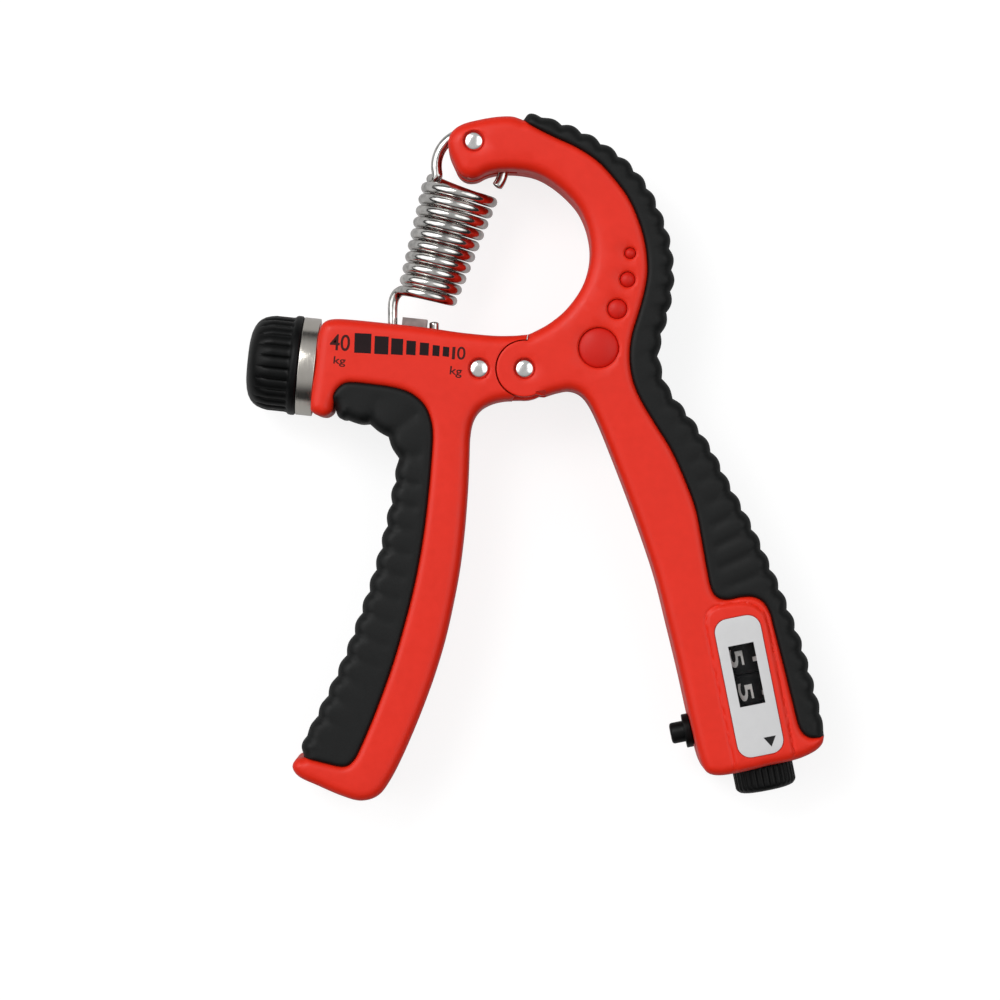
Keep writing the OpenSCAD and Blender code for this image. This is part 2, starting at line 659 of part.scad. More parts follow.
function tangent(p, i) = unit(p[min(i + 1, len(p) - 1)] - p[max(i - 1, 0)]);
function carried(p) = [
    for (i = 0, n = [0, 0, 1]; i < len(p);
        i = i + 1, n = i < len(p) ? unit(n - tangent(p, i) * (n * tangent(p, i))) : n) n];

module tube(path, r, sides) {
    n = len(path);
    across = carried(path);
    points = [for (i = [0 : n - 1]) for (k = [0 : sides - 1])
        let (a = 360 * k / sides)
        path[i] + r * (cos(a) * across[i] + sin(a) * cross(tangent(path, i), across[i]))];
    walls = [for (i = [0 : n - 2]) for (k = [0 : sides - 1])
        let (a = i * sides + k, b = i * sides + (k + 1) % sides)
        each [[a, a + sides, b + sides], [a, b + sides, b]]];
    polyhedron(points, concat(walls, [[for (k = [0 : sides - 1]) k]],
        [[for (k = [sides - 1 : -1 : 0]) (n - 1) * sides + k]]));
}

module spring() {
    gap = min([for (i = [0 : len(spring_path) - 7]) for (j = [i + 6 : len(spring_path) - 1])
        norm(spring_path[i] - spring_path[j])]) - wire_d;
    echo(least_gap_of_the_spring_to_itself = gap);
    color("silver") tube(spring_path, wire_r, 6);
}

// The grooved roller that the upper hook sits on, and the washers on both sides of it.
washer_t = 0.5;
tip_slot = wire_d + 0.7 + 2 * washer_t;

module tip_roller() {
    color("silver") at(tip) difference() {
        cylinder(r = 1.65, h = wire_d + 0.5, center = true);
        cylinder(d = tip_d + 2 * run_gap, h = arm_t, center = true);
    }
}

module tip_washers() {
    color("gray") at(tip) for (side = [0, 1]) mirror([0, 0, side])
        translate([0, 0, wire_d / 2 + 0.3]) difference() {
            cylinder(r = 2.6, h = washer_t);
            translate([0, 0, -1]) cylinder(d = tip_d + 2 * run_gap, h = 3);
        }
}

module tip_rivet() { color("silver") at(tip) rivet(tip_d, arm_t); }

// ---- Right arm ----

module right_cuts() {
    // the slot between the lugs that the left arm's tongue turns in
    translate([0, 0, -eps]) cylinder(r = lug_r + 1.5, h = tongue_t / 2 + pivot_gap / 2 + eps);
    rivet_hole(pivot_d);
    at(tip) rivet_hole(tip_d);
    // the slot that the upper hook swings in
    for (a = [-14, 3, 20]) at(tip) rotate(a) at(loop_at - tip) translate([0, 0, -eps])
        cylinder(r = top_hook_r + wire_r + 0.4, h = tip_slot / 2);
    for (d = dots) at(d) dot_recess(d[2]);
    counter_line() {
        block([bay_from, bay_in, -eps], [bay_to, bay_out, bay_z]);
        translate([pin_at, 0, 0]) rod_y(pin_d / 2 + 0.9, pin_face - 5, bay_in + 1);
        rod_x(shaft_r + run_gap, bay_to - 1, handle_end + 3);
        rod_x(reset_r + 0.3, handle_end - reset_travel - 0.6, handle_end + 5);
    }
}

module right_half() {
    difference() {
        arm_half(right_core, right_face_points,
            faded(right_face_points, right_face_weights, right_ends));
        difference() {
            union() {
                hollow(hoop_inside, hoop_outside);
                hollow(right_inside, right_outside);
            }
            screw_bosses(right_screws);
        }
        right_cuts();
    }
    for (d = dots) at(d) dot_dome(d[2]);
}

// Rounded rectangle from x = from to x = to, w wide.
module round_plate(from, to, w, r, t) {
    linear_extrude(t) {
        translate([from + r, -w / 2]) square([to - from - 2 * r, w]);
        translate([from, -w / 2 + r]) square([to - from, w - 2 * r]);
        for (x = [from + r, to - r]) for (y = [r - w / 2, w / 2 - r]) translate([x, y]) circle(r);
    }
}

label_r = 3;

module window_cut(margin, from, t) {
    block([window_at - window_l / 2 - margin, -window_w / 2 - margin, from],
        [window_at + window_l / 2 + margin, window_w / 2 + margin, from + t]);
}

module right_shell_front() {
    color("#e23a26") difference() {
        union() {
            right_half();
            // the raised face round the label
            counter_line() translate([0, 0, half - eps]) linear_extrude(boss_h + eps)
                polygon([[-0.6, -6.8], [-2.6, -5.6], [-3.2, -2], [-2.6, 3], [-1, 5.6], [2, 6.9],
                    [30, 7], [31.5, -6.8]]);
        }
        counter_line() {
            translate([0, 0, half + boss_h - label_t]) round_plate(-0.1, label_l + 0.1, label_w + 0.2, label_r, 2);
            window_cut(0, 0, half + 2);
            window_cut(lens_margin + 0.1, lens_z - 0.05, half);
        }
        for (p = right_screws) at(p) translate([0, 0, -eps]) cylinder(d = shell_screw_d, h = 6);
    }
}

module right_shell_back() {
    color("#dd3724") difference() {
        mirrored() right_half();
        shell_screw_holes(right_screws);
    }
}

module right_grip() {
    color("#26282a") grip_body(without_first(whole(right_pad)),
        without_first(grooved(right_outer)), right_core);
}

module pivot_rivet() { color("silver") rivet(pivot_d, arm_t); }
module right_shell_screws() { color("silver") for (p = right_screws) at(p) shell_screw(); }

// ---- Counter ----

module counter_label() {
    color("whitesmoke") counter_line() difference() {
        translate([0, 0, half + boss_h - label_t]) round_plate(0, label_l, label_w, label_r, label_t);
        window_cut(0, 0, 2 * half);
    }
}

module window_lens() {
    color([0.8, 0.85, 0.9, 0.4]) counter_line() window_cut(lens_margin, lens_z, lens_t);
}

module counter_frame() {
    ear = -seat_at;
    low = -bay_z + 0.1;
    color("gainsboro") counter_line() difference() {
        union() {
            block([frame_from, -ear, low], [frame_to, ear, low + 0.8]);
            for (x = [frame_from, frame_to - frame_t]) {
                block([x, -ear, low], [x + frame_t, ear, 3]);
                translate([0, pinion_at.x, pinion_at.y]) rod_x(pinion_r + 0.3, x, x + frame_t);
            }
            // the seat of the pin's spring
            block([frame_to - frame_t, -ear, -shoulder_w / 2], [pin_at + shoulder_w / 2, -ear + 1, 3]);
        }
        rod_x(axle_d / 2, 0, 40);
        translate([0, pinion_at.x, pinion_at.y]) rod_x(0.4 * pinion_r + run_gap, 0, 40);
        translate([pin_at, 0, 0]) rod_y(1.4, -ear - 1, 0);
    }
}

module counter_axle() { color("silver") counter_line() rod_x(axle_d / 2, frame_from, frame_to); }

module number_wheel(from) {
    difference() {
        union() {
            rod_x(wheel_d / 2, from, from + wheel_w);
            children();
        }
        rod_x(axle_d / 2 + run_gap, 0, 40);
        // the rim is deeper than the web, on the side away from the other wheel
        ring_x(3, wheel_d / 2 - 1.6, from - 1, from + wheel_w - 2);
    }
}

module tens_wheel() { color("#1a1a1a") counter_line() number_wheel(wheels_from); }

module units_wheel() {
    teeth = 10;
    color("#1a1a1a") counter_line() number_wheel(wheels_to - wheel_w) {
        rod_x(ratchet_r - 0.8, wheels_to - 1, wheels_to + ratchet_t);
        for (i = [0 : teeth - 1]) rotate([360 * i / teeth, 0, 0])
            translate([wheels_to - 1, 0, 0]) rotate([90, 0, 90]) linear_extrude(ratchet_t + 1)
                polygon([[0, 3.2], [1.8, 3.2], [0, ratchet_r]]);
    }
}

module carry_pinion() {
    color("gainsboro") counter_line() translate([0, pinion_at.x, pinion_at.y]) {
        rod_x(0.4 * pinion_r, frame_from, frame_to);
        translate([window_at - pinion_w / 2, 0, 0]) rotate([90, 0, 90]) linear_extrude(pinion_w)
            polygon([for (i = [0 : 7]) for (p = [[0.6, -14], [1, -8], [1, 8], [0.6, 14]])
                pinion_r * p[0] * [cos(45 * i + p[1]), sin(45 * i + p[1])]]);
    }
}

module counter_pin() {
    color("#1c1d1f") counter_line() translate([pin_at, 0, 0]) {
        rod_y(pin_d / 2, pin_face - pin_out, bay_in + 0.1);
        block([-shoulder_w / 2, pin_rest, -shoulder_w / 2],
            [shoulder_w / 2, pin_rest + shoulder_t, pawl_z + 0.8]);
        rod_y(1.2, bay_in + 1, seat_at - 1.3);
    }
}

module drive_pawl() {
    color("silver") counter_line() block(
        [wheels_to + 0.3, pin_rest + shoulder_t, pawl_z], [wheels_to + 1.1, -3, pawl_z + 0.6]);
}

module pin_sleeve() {
    color("#1c1d1f") counter_line() translate([pin_at, 0, 0]) difference() {
        union() {
            rod_y(sleeve_d / 2, pin_face, arm_face);
            rod_y(pin_d / 2 + 0.9, arm_face - eps, bay_in);
        }
        rod_y(pin_d / 2 + run_gap, pin_face - 1, 0);
    }
}

module pin_spring() {
    color("silver") counter_line() translate([pin_at, 0, 0]) difference() {
        rod_y(2.6, pin_rest + shoulder_t + 0.05, seat_at - 0.05);
        rod_y(1.6, -20, 0);
    }
}

module reset_knob() {
    rim = reset_r - 0.3;
    color("#1c1d1f") counter_line() difference() {
        union() {
            translate([handle_end, 0, 0]) rotate([0, 90, 0]) rotate_extrude($fn = 72)
                polygon([[0, 0], [rim, 0], [rim, reset_l - 1.2], [rim - 0.4, reset_l - 0.4],
                    [rim - 1.2, reset_l], [0, reset_l]]);
            for (i = [0 : reset_ribs - 1]) rotate([360 * i / reset_ribs, 0, 0])
                translate([0, 0, rim]) rod_x(0.3, handle_end + 0.2, handle_end + reset_l - 1.1, $fn = 16);
        }
        rod_x(shaft_r, handle_end - 1, handle_end + 2.6);
    }
}

module reset_shaft() {
    color("gray") counter_line() rod_x(shaft_r, frame_to + reset_travel + 0.2, handle_end + 2.6);
}

collar_at = bay_to - 2;

module reset_collar() {
    color("gray") counter_line() ring_x(shaft_r + run_gap, 3.6, collar_at, collar_at + 1);
}

module reset_spring() {
    color("silver") counter_line() ring_x(shaft_r + 0.3, 3.3, frame_to + 0.1, collar_at - 0.1);
}

// ---- The whole ----

module place() { translate([pivot_x, pivot_y, half]) children(); }

place() left_shell_front();
place() left_shell_back();
place() left_grip();
place() left_rivet();
place() left_shell_screws();
place() pivot_bush();
place() knob_collar();
place() screw_bush();
place() end_bush();
place() knob();
place() lead_screw();
place() screw_clip();
place() carriage_nut();
place() hook_block();
place() spring();
place() tip_roller();
place() tip_washers();
place() tip_rivet();
place() right_shell_front();
place() right_shell_back();
place() right_grip();
place() pivot_rivet();
place() right_shell_screws();
place() counter_frame();
place() counter_axle();
place() counter_label();
place() window_lens();
place() units_wheel();
place() tens_wheel();
place() carry_pinion();
place() counter_pin();
place() drive_pawl();
place() pin_sleeve();
place() pin_spring();
place() reset_knob();
place() reset_shaft();
place() reset_collar();
place() reset_spring();
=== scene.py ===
# Looks of a hand grip strengthener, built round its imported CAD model.
# Shapes are drawn in millimetres about the arms' pivot, z from the middle plane, and placed in
# the row's frame as they are made: X to the right, Y towards the spring, Z out of the front.

import math

import bmesh
import bpy
import numpy as np
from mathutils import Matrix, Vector
from mathutils.geometry import delaunay_2d_cdt


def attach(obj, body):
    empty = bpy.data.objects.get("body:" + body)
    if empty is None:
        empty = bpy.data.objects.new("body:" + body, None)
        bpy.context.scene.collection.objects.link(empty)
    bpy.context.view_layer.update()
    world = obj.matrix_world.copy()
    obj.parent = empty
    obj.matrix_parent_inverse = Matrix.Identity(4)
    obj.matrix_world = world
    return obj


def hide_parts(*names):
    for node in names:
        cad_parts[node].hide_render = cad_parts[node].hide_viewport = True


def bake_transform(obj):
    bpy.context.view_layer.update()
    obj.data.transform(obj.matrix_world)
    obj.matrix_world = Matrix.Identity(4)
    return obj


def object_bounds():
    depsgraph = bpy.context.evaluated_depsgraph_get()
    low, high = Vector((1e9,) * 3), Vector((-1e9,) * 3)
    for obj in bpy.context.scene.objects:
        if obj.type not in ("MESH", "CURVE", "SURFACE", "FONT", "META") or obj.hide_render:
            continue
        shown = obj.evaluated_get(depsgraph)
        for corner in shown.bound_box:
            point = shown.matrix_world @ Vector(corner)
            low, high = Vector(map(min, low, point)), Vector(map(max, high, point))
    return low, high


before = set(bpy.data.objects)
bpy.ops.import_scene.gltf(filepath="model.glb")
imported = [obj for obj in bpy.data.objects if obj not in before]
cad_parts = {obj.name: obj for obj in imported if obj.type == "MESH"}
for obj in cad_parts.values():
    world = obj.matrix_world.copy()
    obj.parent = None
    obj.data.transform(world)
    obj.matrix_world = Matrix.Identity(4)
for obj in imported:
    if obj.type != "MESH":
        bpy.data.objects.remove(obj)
cad_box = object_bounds()

MM = 0.001
PIVOT = (-2.6, 19.8)          # the pivot's place in the frame, mm
HALF = 12.0                   # half of the arms' thickness
EDGE_W = 2.5                  # width of the rounding along the red edges
PAD_W, PAD_H = 1.6, 1.5      # width and depth of the red edge against the rubber
RUBBER_W, RUBBER_H = 2.7, 3.4     # the rubber's outer rounding
LIP_W, LIP_H = 0.9, 0.8       # the rubber's edge against the red
GROOVE_PITCH, GROOVE_DEPTH = 5.0, 0.7

# ---- Outlines about the pivot, mm ----

LEFT_RED = [
    (-42.9, -7.9), (-43.4, -9.7), (-45.1, -10.7), (-47.4, -10), (-48.4, -8.1), (-47.8, -3.6),
    (-47.1, 1.6), (-46.6, 6.1), (-46, 9), (-44.9, 10.6), (-42.9, 11.2), (-39.3, 11.1),
    (-31.2, 10.3), (-22.2, 9.3), (-14.5, 8.2), (-7.3, 7.5), (-2.8, 7.45), (0.4, 7.7)]
LEFT_INNER = [
    (-1.7, -6.9), (-4.6, -7), (-7.5, -7.7), (-10, -9.2), (-11.6, -11.7), (-12.3, -15.3),
    (-12.5, -20.5), (-12.8, -27.2), (-13.5, -36.2), (-14.6, -45.2), (-16.1, -53.3),
    (-18, -61.6), (-20.6, -70.2), (-23.7, -78.5), (-27.3, -86.9), (-30.3, -92.7), (-33, -96),
    (-36.8, -97.1), (-41.1, -96), (-46.7, -93.6), (-50.7, -91.7), (-52.2, -89.5),
    (-51.2, -87.6), (-49.6, -87.3)]
LEFT_OUTER = [
    (-49.6, -87.3), (-50.1, -84.4), (-48, -79.9), (-44.2, -72.2), (-40.8, -64.6),
    (-37.9, -56.9), (-35.4, -49.7), (-33.4, -43), (-31.8, -36.7), (-30.5, -30.6), (-29.5, -25),
    (-28.9, -20.7), (-30.3, -16.9), (-33.4, -13.7), (-37.5, -12.2), (-41.5, -11.2),
    (-42.9, -7.9)]
LEFT_PAD = [
    (-42.9, -7.9), (-42.8, -5.9), (-41.5, -4), (-39.3, -3.1), (-33.6, -3.6), (-28.7, -4.4),
    (-25.3, -5.7), (-22.6, -8.1), (-21.2, -11.2), (-20.7, -14.8), (-21, -20.5), (-21.7, -28.4),
    (-22.8, -37.4), (-24.6, -47.5), (-27.1, -57.6), (-30, -67.3), (-33.6, -77.2),
    (-36.8, -84.8), (-38.4, -87.8), (-40.6, -89.3), (-44.9, -88.5), (-49.6, -87.3)]
RIGHT_HOOP = [
    (-0.3, 56), (-2.8, 56.8), (-6.4, 56.7), (-10.5, 56), (-13.8, 55.1), (-16.1, 53.6),
    (-17.2, 51.3), (-16.9, 48.8), (-15.9, 46.4), (-14.7, 44.1), (-12.9, 43), (-10.7, 43.1),
    (-8.4, 44.2), (-5.5, 44.8), (-1.5, 44.8), (2.6, 44), (6.2, 42.1), (9.8, 39.1),
    (12.5, 35.8), (14.3, 31.5), (15, 26.8), (14.4, 22.3), (12.5, 17.6), (9.3, 13.3),
    (5.7, 10.3), (2.1, 8.3), (0.8, 7.75)]
RIGHT_IN = [
    (4.6, -6), (7.5, -5.1), (10.2, -4.7), (12.7, -5.6), (14.7, -7.9), (17, -12.6),
    (19.9, -19.8), (23.3, -28.6), (26.7, -38), (29.8, -47.5), (32.5, -58.3), (35, -68.6),
    (36.9, -77.2), (38.8, -85.3), (39.9, -88.9), (41.3, -90.9), (44.2, -91.4), (49.6, -90.5),
    (55.2, -89.1), (60.9, -87.9), (64.9, -86.2), (66.9, -84.4), (67.4, -82.4)]
RIGHT_OUTER = [
    (67.4, -82.4), (66.9, -77.9), (65, -70), (62.7, -62.1), (59.3, -52.9), (55, -43),
    (51, -34.4), (46.5, -26.1), (42.2, -17.8), (37.7, -11), (33.2, -5.2), (31.2, -0.7),
    (30.6, 3.8), (31.4, 8.1), (33, 14.2), (33.8, 21.2), (33, 28.6), (30.9, 35.1),
    (27.8, 41.4), (23.3, 46.8), (17.4, 51.3), (10.7, 54.8), (4.6, 56.8), (1.2, 57.5),
    (-0.3, 56)]
RIGHT_PAD = [
    (-0.3, 56), (1.9, 54.5), (6.4, 52.2), (11.8, 49.7), (16.5, 46.6), (20.1, 42.8),
    (23.3, 38.5), (25.5, 33.8), (27.1, 28.4), (27.7, 22.7), (27.2, 18.2), (25.8, 12.8),
    (24.2, 7.4), (23.7, 2.5), (24.4, -2.5), (26.2, -7), (29.4, -12.4), (33, -18.2),
    (36.1, -25), (38.5, -31.5), (39.9, -38.5), (41.1, -45.2), (42, -49.3), (43.3, -51.3),
    (45.6, -51.8), (48.7, -51.2), (51.4, -51.2), (53.7, -52.4), (55.2, -54.9),
    (56.2, -58.7), (58.2, -66.4), (60.2, -74.5), (61.8, -80.5), (63.6, -82.6),
    (65.8, -82.8), (67.4, -82.4)]

TIP = (-11.4, 51.1)
LEFT_RIVET = (-10.2, 0.0)
DOTS = [((23.7, 25.9), 0.29), ((23.1, 20.0), 0.39), ((20.8, 13.4), 0.5), ((16.6, 4.7), 1.0)]
DOT_D, DOT_H = 9.2, 0.9
RECESS_R, RECESS_DEPTH = 2.45, 1.1
LUG_R, KNUCKLE_R, SEAT_R = 6.3, 6.9, 6.55
TONGUE, BUSH_R = 5.0, 3.0
BOSS_H = 0.4                  # the counter's raised field
LABEL_T = 0.45
LABEL_FOOT = HALF + BOSS_H - LABEL_T
WINDOW_AT, WINDOW_L, WINDOW_W = 13.1, 6.95, 2.9     # the label's window: its middle and half sizes
LENS_L, LENS_W = 7.95, 3.9    # half sizes of the lens's bed
PIN_AT = (23.5, 0)            # the push pin's axis in the counter's line
PRINT_T = 0.03                # thickness of all print
WIRE_D, TOP_HOOK_R = 2.1, 7.65
WIRE_R = WIRE_D / 2
HOOK_AWAY = (-0.9, -TOP_HOOK_R + 1.65 + WIRE_R + 0.2)     # the upper hook's middle from the tip rivet


def direction(degrees):
    return np.array([math.cos(math.radians(degrees)), math.sin(math.radians(degrees))])


class Line:
    """A local frame in the middle plane: x runs along it, y across it to its left."""

    def __init__(self, origin, degrees):
        self.o = np.array(origin, float)
        self.u = direction(degrees)
        self.v = direction(degrees + 90)

    def out(self, points):
        p = np.asarray(points, float)
        flat = self.o + p[..., :1] * self.u + p[..., 1:2] * self.v
        return flat if p.shape[-1] == 2 else np.concatenate([flat, p[..., 2:]], -1)

    def into(self, points):
        q = np.asarray(points, float)[..., :2] - self.o
        return np.stack([q @ self.u, q @ self.v], -1)


PLAIN = Line((0, 0), 0)
SCREW = Line((-51.0, 1.0), -6.0)
COUNTER = Line((47.25, -55.8), 11.3 - 90.0)


# ---- Lines ----

def spline(knots, n=12):
    """Points of the same open spline that the CAD draws through these knots."""
    k = [np.array(p, float) for p in knots]
    k = [2 * k[0] - k[1]] + k + [2 * k[-1] - k[-2]]
    out = []
    for a, b, c, d in zip(k, k[1:], k[2:], k[3:]):
        for j in range(n):
            t = j / n
            out.append((2 * b + (c - a) * t + (2 * a - 5 * b + 4 * c - d) * t * t
                        + (3 * b - a - 3 * c + d) * t ** 3) / 2)
    return np.array(out + [k[-2]])


def running(p):
    return np.concatenate([[0], np.cumsum(np.linalg.norm(np.diff(p, axis=0), axis=1))])


def even(p, step=None, n=None):
    """The line p, resampled to even steps, its ends kept."""
    s = running(p)
    n = n or max(1, round(s[-1] / step))
    at = np.linspace(0, s[-1], n + 1)
    return np.stack([np.interp(at, s, p[:, i]) for i in range(p.shape[1])], 1)


def arc(centre, r, a0, a1, n):
    return np.array([np.array(centre) + r * direction(a0 + (a1 - a0) * i / n) for i in range(n + 1)])


def loop_of(*lines):
    """One closed loop from open lines, without the points that they share."""
    return np.concatenate([line[:-1] for line in lines])


def side_of(p):
    t = np.gradient(p, axis=0)
    t /= np.linalg.norm(t, axis=1)[:, None]
    return np.stack([-t[:, 1], t[:, 0]], 1)


def grooved(knots, per=16):
    """The rubber's outer edge, with a groove at each pitch, and its plain line and phase."""
    line = spline(knots)
    n = round(running(line)[-1] / GROOVE_PITCH)
    p = even(line, n=per * n)
    k = np.arange(len(p))
    ends = np.minimum(np.linalg.norm(p - p[0], axis=1), np.linalg.norm(p - p[-1], axis=1))
    depth = GROOVE_DEPTH * (1 - np.abs(np.sin(np.pi * k / per))) * np.clip(ends / 8, 0, 1)
    return p + side_of(p) * depth[:, None], p, k / per


def distance(points, line, closed=False):
    """Distance of each point to a line, and where along the line the nearest place is."""
    a = line if closed else line[:-1]
    b = np.roll(line, -1, axis=0) if closed else line[1:]
    ab = b - a
    length = np.maximum((ab ** 2).sum(1), 1e-12)
    best = np.full(len(points), 1e9)
    place = np.zeros(len(points))
    for i in range(0, len(points), 2000):
        q = points[i:i + 2000, None, :] - a[None]
        t = np.clip((q * ab).sum(2) / length, 0, 1)
        gap = np.linalg.norm(q - t[..., None] * ab, axis=2)
        j = gap.argmin(1)
        rows = np.arange(len(j))
        best[i:i + 2000] = gap[rows, j]
        place[i:i + 2000] = j + t[rows, j]
    return best, place


def inside(points, loop):
    x, y = points[:, 0], points[:, 1]
    hit = np.zeros(len(points), bool)
    for (x0, y0), (x1, y1) in zip(loop, np.roll(loop, -1, axis=0)):
        if y0 != y1:
            hit ^= ((y0 > y) != (y1 > y)) & (x < (x1 - x0) * (y - y0) / (y1 - y0) + x0)
    return hit


def fall(d, width, depth):
    """How far a rounded edge lies below the face, at a distance d from the edge."""
    t = np.clip(1 - d / width, 0, 1)
    return depth * (1 - np.sqrt(1 - t * t))


def smooth(t):
    t = np.clip(t, 0, 1)
    return t * t * (3 - 2 * t)


# ---- Meshes ----

def place(points):
    p = np.asarray(points, float)
    return [Vector(((x + PIVOT[0]) * MM, (y + PIVOT[1]) * MM, (z + HALF) * MM)) for x, y, z in p]


def linked(name, data):
    obj = bpy.data.objects.new(name, data)
    bpy.context.scene.collection.objects.link(obj)
    return obj


def shade(bm, sharp=38):
    """Smooth shading, but for edges at a sharper angle."""
    for f in bm.faces:
        f.smooth = True
    for edge in bm.edges:
        if len(edge.link_faces) == 2:
            edge.smooth = edge.calc_face_angle(0) < math.radians(sharp)


def finish_mesh(bm, name, material, sharp=38):
    bmesh.ops.recalc_face_normals(bm, faces=bm.faces)
    shade(bm, sharp)
    mesh = bpy.data.meshes.new(name)
    bm.to_mesh(mesh)
    bm.free()
    mesh.materials.append(material)
    return linked(name, mesh)


def solid_from(bm, rings, caps=True):
    """Joins rings of equal length into a closed skin."""
    rows = [[bm.verts.new(v) for v in place(ring)] for ring in rings]
    n = len(rows[0])
    for a, b in zip(rows, rows[1:]):
        for i in range(n):
            bm.faces.new((a[i], a[(i + 1) % n], b[(i + 1) % n], b[i]))
    if caps:
        bm.faces.new(rows[0][::-1])
        bm.faces.new(rows[-1])


def plate(bm, loop, height, bottom, marks=(), offsets=(0.05, 0.18, 0.4, 0.7, 1.15, 1.7, 2.4),
          grid=2.5, clear=2.8, walls=(), mirror=1, parting=True):
    """A closed plate over a loop: its top is height(points), its foot lies at the given bottom.

    A height of None for the bottom makes the foot the mirror image of the top."""
    count = len(loop)
    normal = side_of(np.concatenate([loop[-1:], loop, loop[:1]]))[1:-1]
    extra = []
    for off in offsets:
        ring = loop + normal * off
        d, _ = distance(ring, loop, True)
        extra.append(ring[(d > off * 0.96) & inside(ring, loop)])
    for mark in marks:
        d, _ = distance(mark, loop, True)
        extra.append(mark[(d > 0.04) & inside(mark, loop)])
    low, high = loop.min(0), loop.max(0)
    xs, ys = np.arange(low[0], high[0], grid), np.arange(low[1], high[1], grid * 0.866)
    cells = np.array([(x + (j % 2) * grid / 2, y) for j, y in enumerate(ys) for x in xs])
    d, _ = distance(cells, loop, True)
    keep = (d > clear) & inside(cells, loop)
    for mark in marks:
        gap, _ = distance(cells, mark)
        keep &= gap > grid * 0.45
    extra.append(cells[keep])
    points = np.concatenate([loop] + extra)
    edges = [(i, (i + 1) % count) for i in range(count)]
    out, _, faces, source, _, _ = delaunay_2d_cdt(
        [Vector(p) for p in points], edges, [list(range(count))], 1, 1e-5)
    flat = np.array([(v.x, v.y) for v in out])
    back = {}
    for i, names in enumerate(source):
        for name in names:
            back[name] = i
    ring = [back[i] for i in range(count)]
    top = height(flat)
    # Thin corners keep a little height over the foot.
    floor = bottom + 0.4 if bottom is not None else 0.4
    top = np.maximum(top, floor)

    def lay(z):
        return [bm.verts.new(v) for v in place(np.column_stack([flat, mirror * z]))]

    def skin(rows, up):
        for f in faces:
            vs = [rows[i] for i in f]
            bm.faces.new(vs if up else vs[::-1])

    upper = lay(top)
    skin(upper, mirror > 0)
    levels = []
    if bottom is None:
        for share in walls:
            levels.append(top[ring] * share)
        lower = lay(-top)
        skin(lower, mirror < 0)
    else:
        for z in walls:
            levels.append(np.minimum(np.full(count, float(z)), top[ring] - 0.1))
        inset = 0.14 if parting else 0
        if inset:
            levels.append(np.full(count, bottom + inset))
        foot = loop + normal * inset
        _, _, foot_faces, _, _, _ = delaunay_2d_cdt([Vector(p) for p in foot], edges, [], 1, 1e-5)
        under = [bm.verts.new(v) for v in place(np.column_stack([foot, np.full(count, mirror * bottom)]))]
        for f in foot_faces:
            vs = [under[i] for i in f]
            bm.faces.new(vs if mirror < 0 else vs[::-1])
    rows = [[upper[i] for i in ring]]
    for z in levels:
        pts = np.column_stack([flat[ring], mirror * z])
        rows.append([bm.verts.new(v) for v in place(pts)])
    rows.append([lower[i] for i in ring] if bottom is None else under)
    for a, b in zip(rows, rows[1:]):
        for i in range(count):
            j = (i + 1) % count
            quad = (a[j], a[i], b[i], b[j])
            bm.faces.new(quad if mirror > 0 else quad[::-1])


def box_points(line, low, high):
    (x0, y0, z0), (x1, y1, z1) = low, high
    ring = [(x0, y0), (x1, y0), (x1, y1), (x0, y1)]
    return [line.out([(x, y, z) for x, y in ring]) for z in (z0, z1)]


def cutter(rings):
    bm = bmesh.new()
    solid_from(bm, rings)
    bmesh.ops.recalc_face_normals(bm, faces=bm.faces)
    mesh = bpy.data.meshes.new("cutter")
    bm.to_mesh(mesh)
    bm.free()
    return linked("cutter", mesh)


def box_cutter(line, low, high):
    return cutter(box_points(line, low, high))


def turned_points(line, profile, centre=(0, 0), n=48, along="x", ribs=None):
    """Rings of a body of revolution about a line's x or y direction, or z.

    ribs(x, angle) gives what is added to the radius."""
    rings = []
    for x, r in profile:
        ring = []
        for k in range(n):
            a = 2 * math.pi * k / n
            q = r + (ribs(x, a) if ribs and r > 0.2 else 0)
            c, s = q * math.cos(a), q * math.sin(a)
            if along == "x":
                ring.append((x, centre[0] + c, centre[1] + s))
            elif along == "y":
                ring.append((centre[0] + s, x, centre[1] + c))
            else:
                ring.append((centre[0] + c, centre[1] + s, x))
        rings.append(line.out(ring))
    return rings


def rod_cutter(line, r, x0, x1, centre=(0, 0), n=48, along="x"):
    return cutter(turned_points(line, [(x0, r), (x1, r)], centre, n, along))


def cut(obj, cutters):
    """Takes the cutters out of obj, with exact booleans."""
    for c in cutters:
        m = obj.modifiers.new("cut", "BOOLEAN")
        m.operation = "DIFFERENCE"
        m.solver = "EXACT"
        m.object = c
    shown = obj.evaluated_get(bpy.context.evaluated_depsgraph_get())
    mesh = bpy.data.meshes.new_from_object(shown)
    obj.modifiers.clear()
    old = obj.data
    obj.data = mesh
    bpy.data.meshes.remove(old)
    for c in cutters:
        bpy.data.objects.remove(c)
    bm = bmesh.new()
    bm.from_mesh(mesh)
    bmesh.ops.remove_doubles(bm, verts=bm.verts, dist=2e-6)
    bmesh.ops.dissolve_degenerate(bm, edges=bm.edges, dist=1e-6)
    shade(bm)
    bm.to_mesh(mesh)
    bm.free()
    while len(mesh.materials) > 1:
        mesh.materials.pop()


def lathe(name, material, line, profile, centre=(0, 0), n=64, along="x", ribs=None, sharp=38):
    """A turned piece with closed ends."""
    bm = bmesh.new()
    solid_from(bm, turned_points(line, profile, centre, n, along, ribs))
    bmesh.ops.remove_doubles(bm, verts=bm.verts, dist=1e-7)
    return finish_mesh(bm, name, material, sharp)


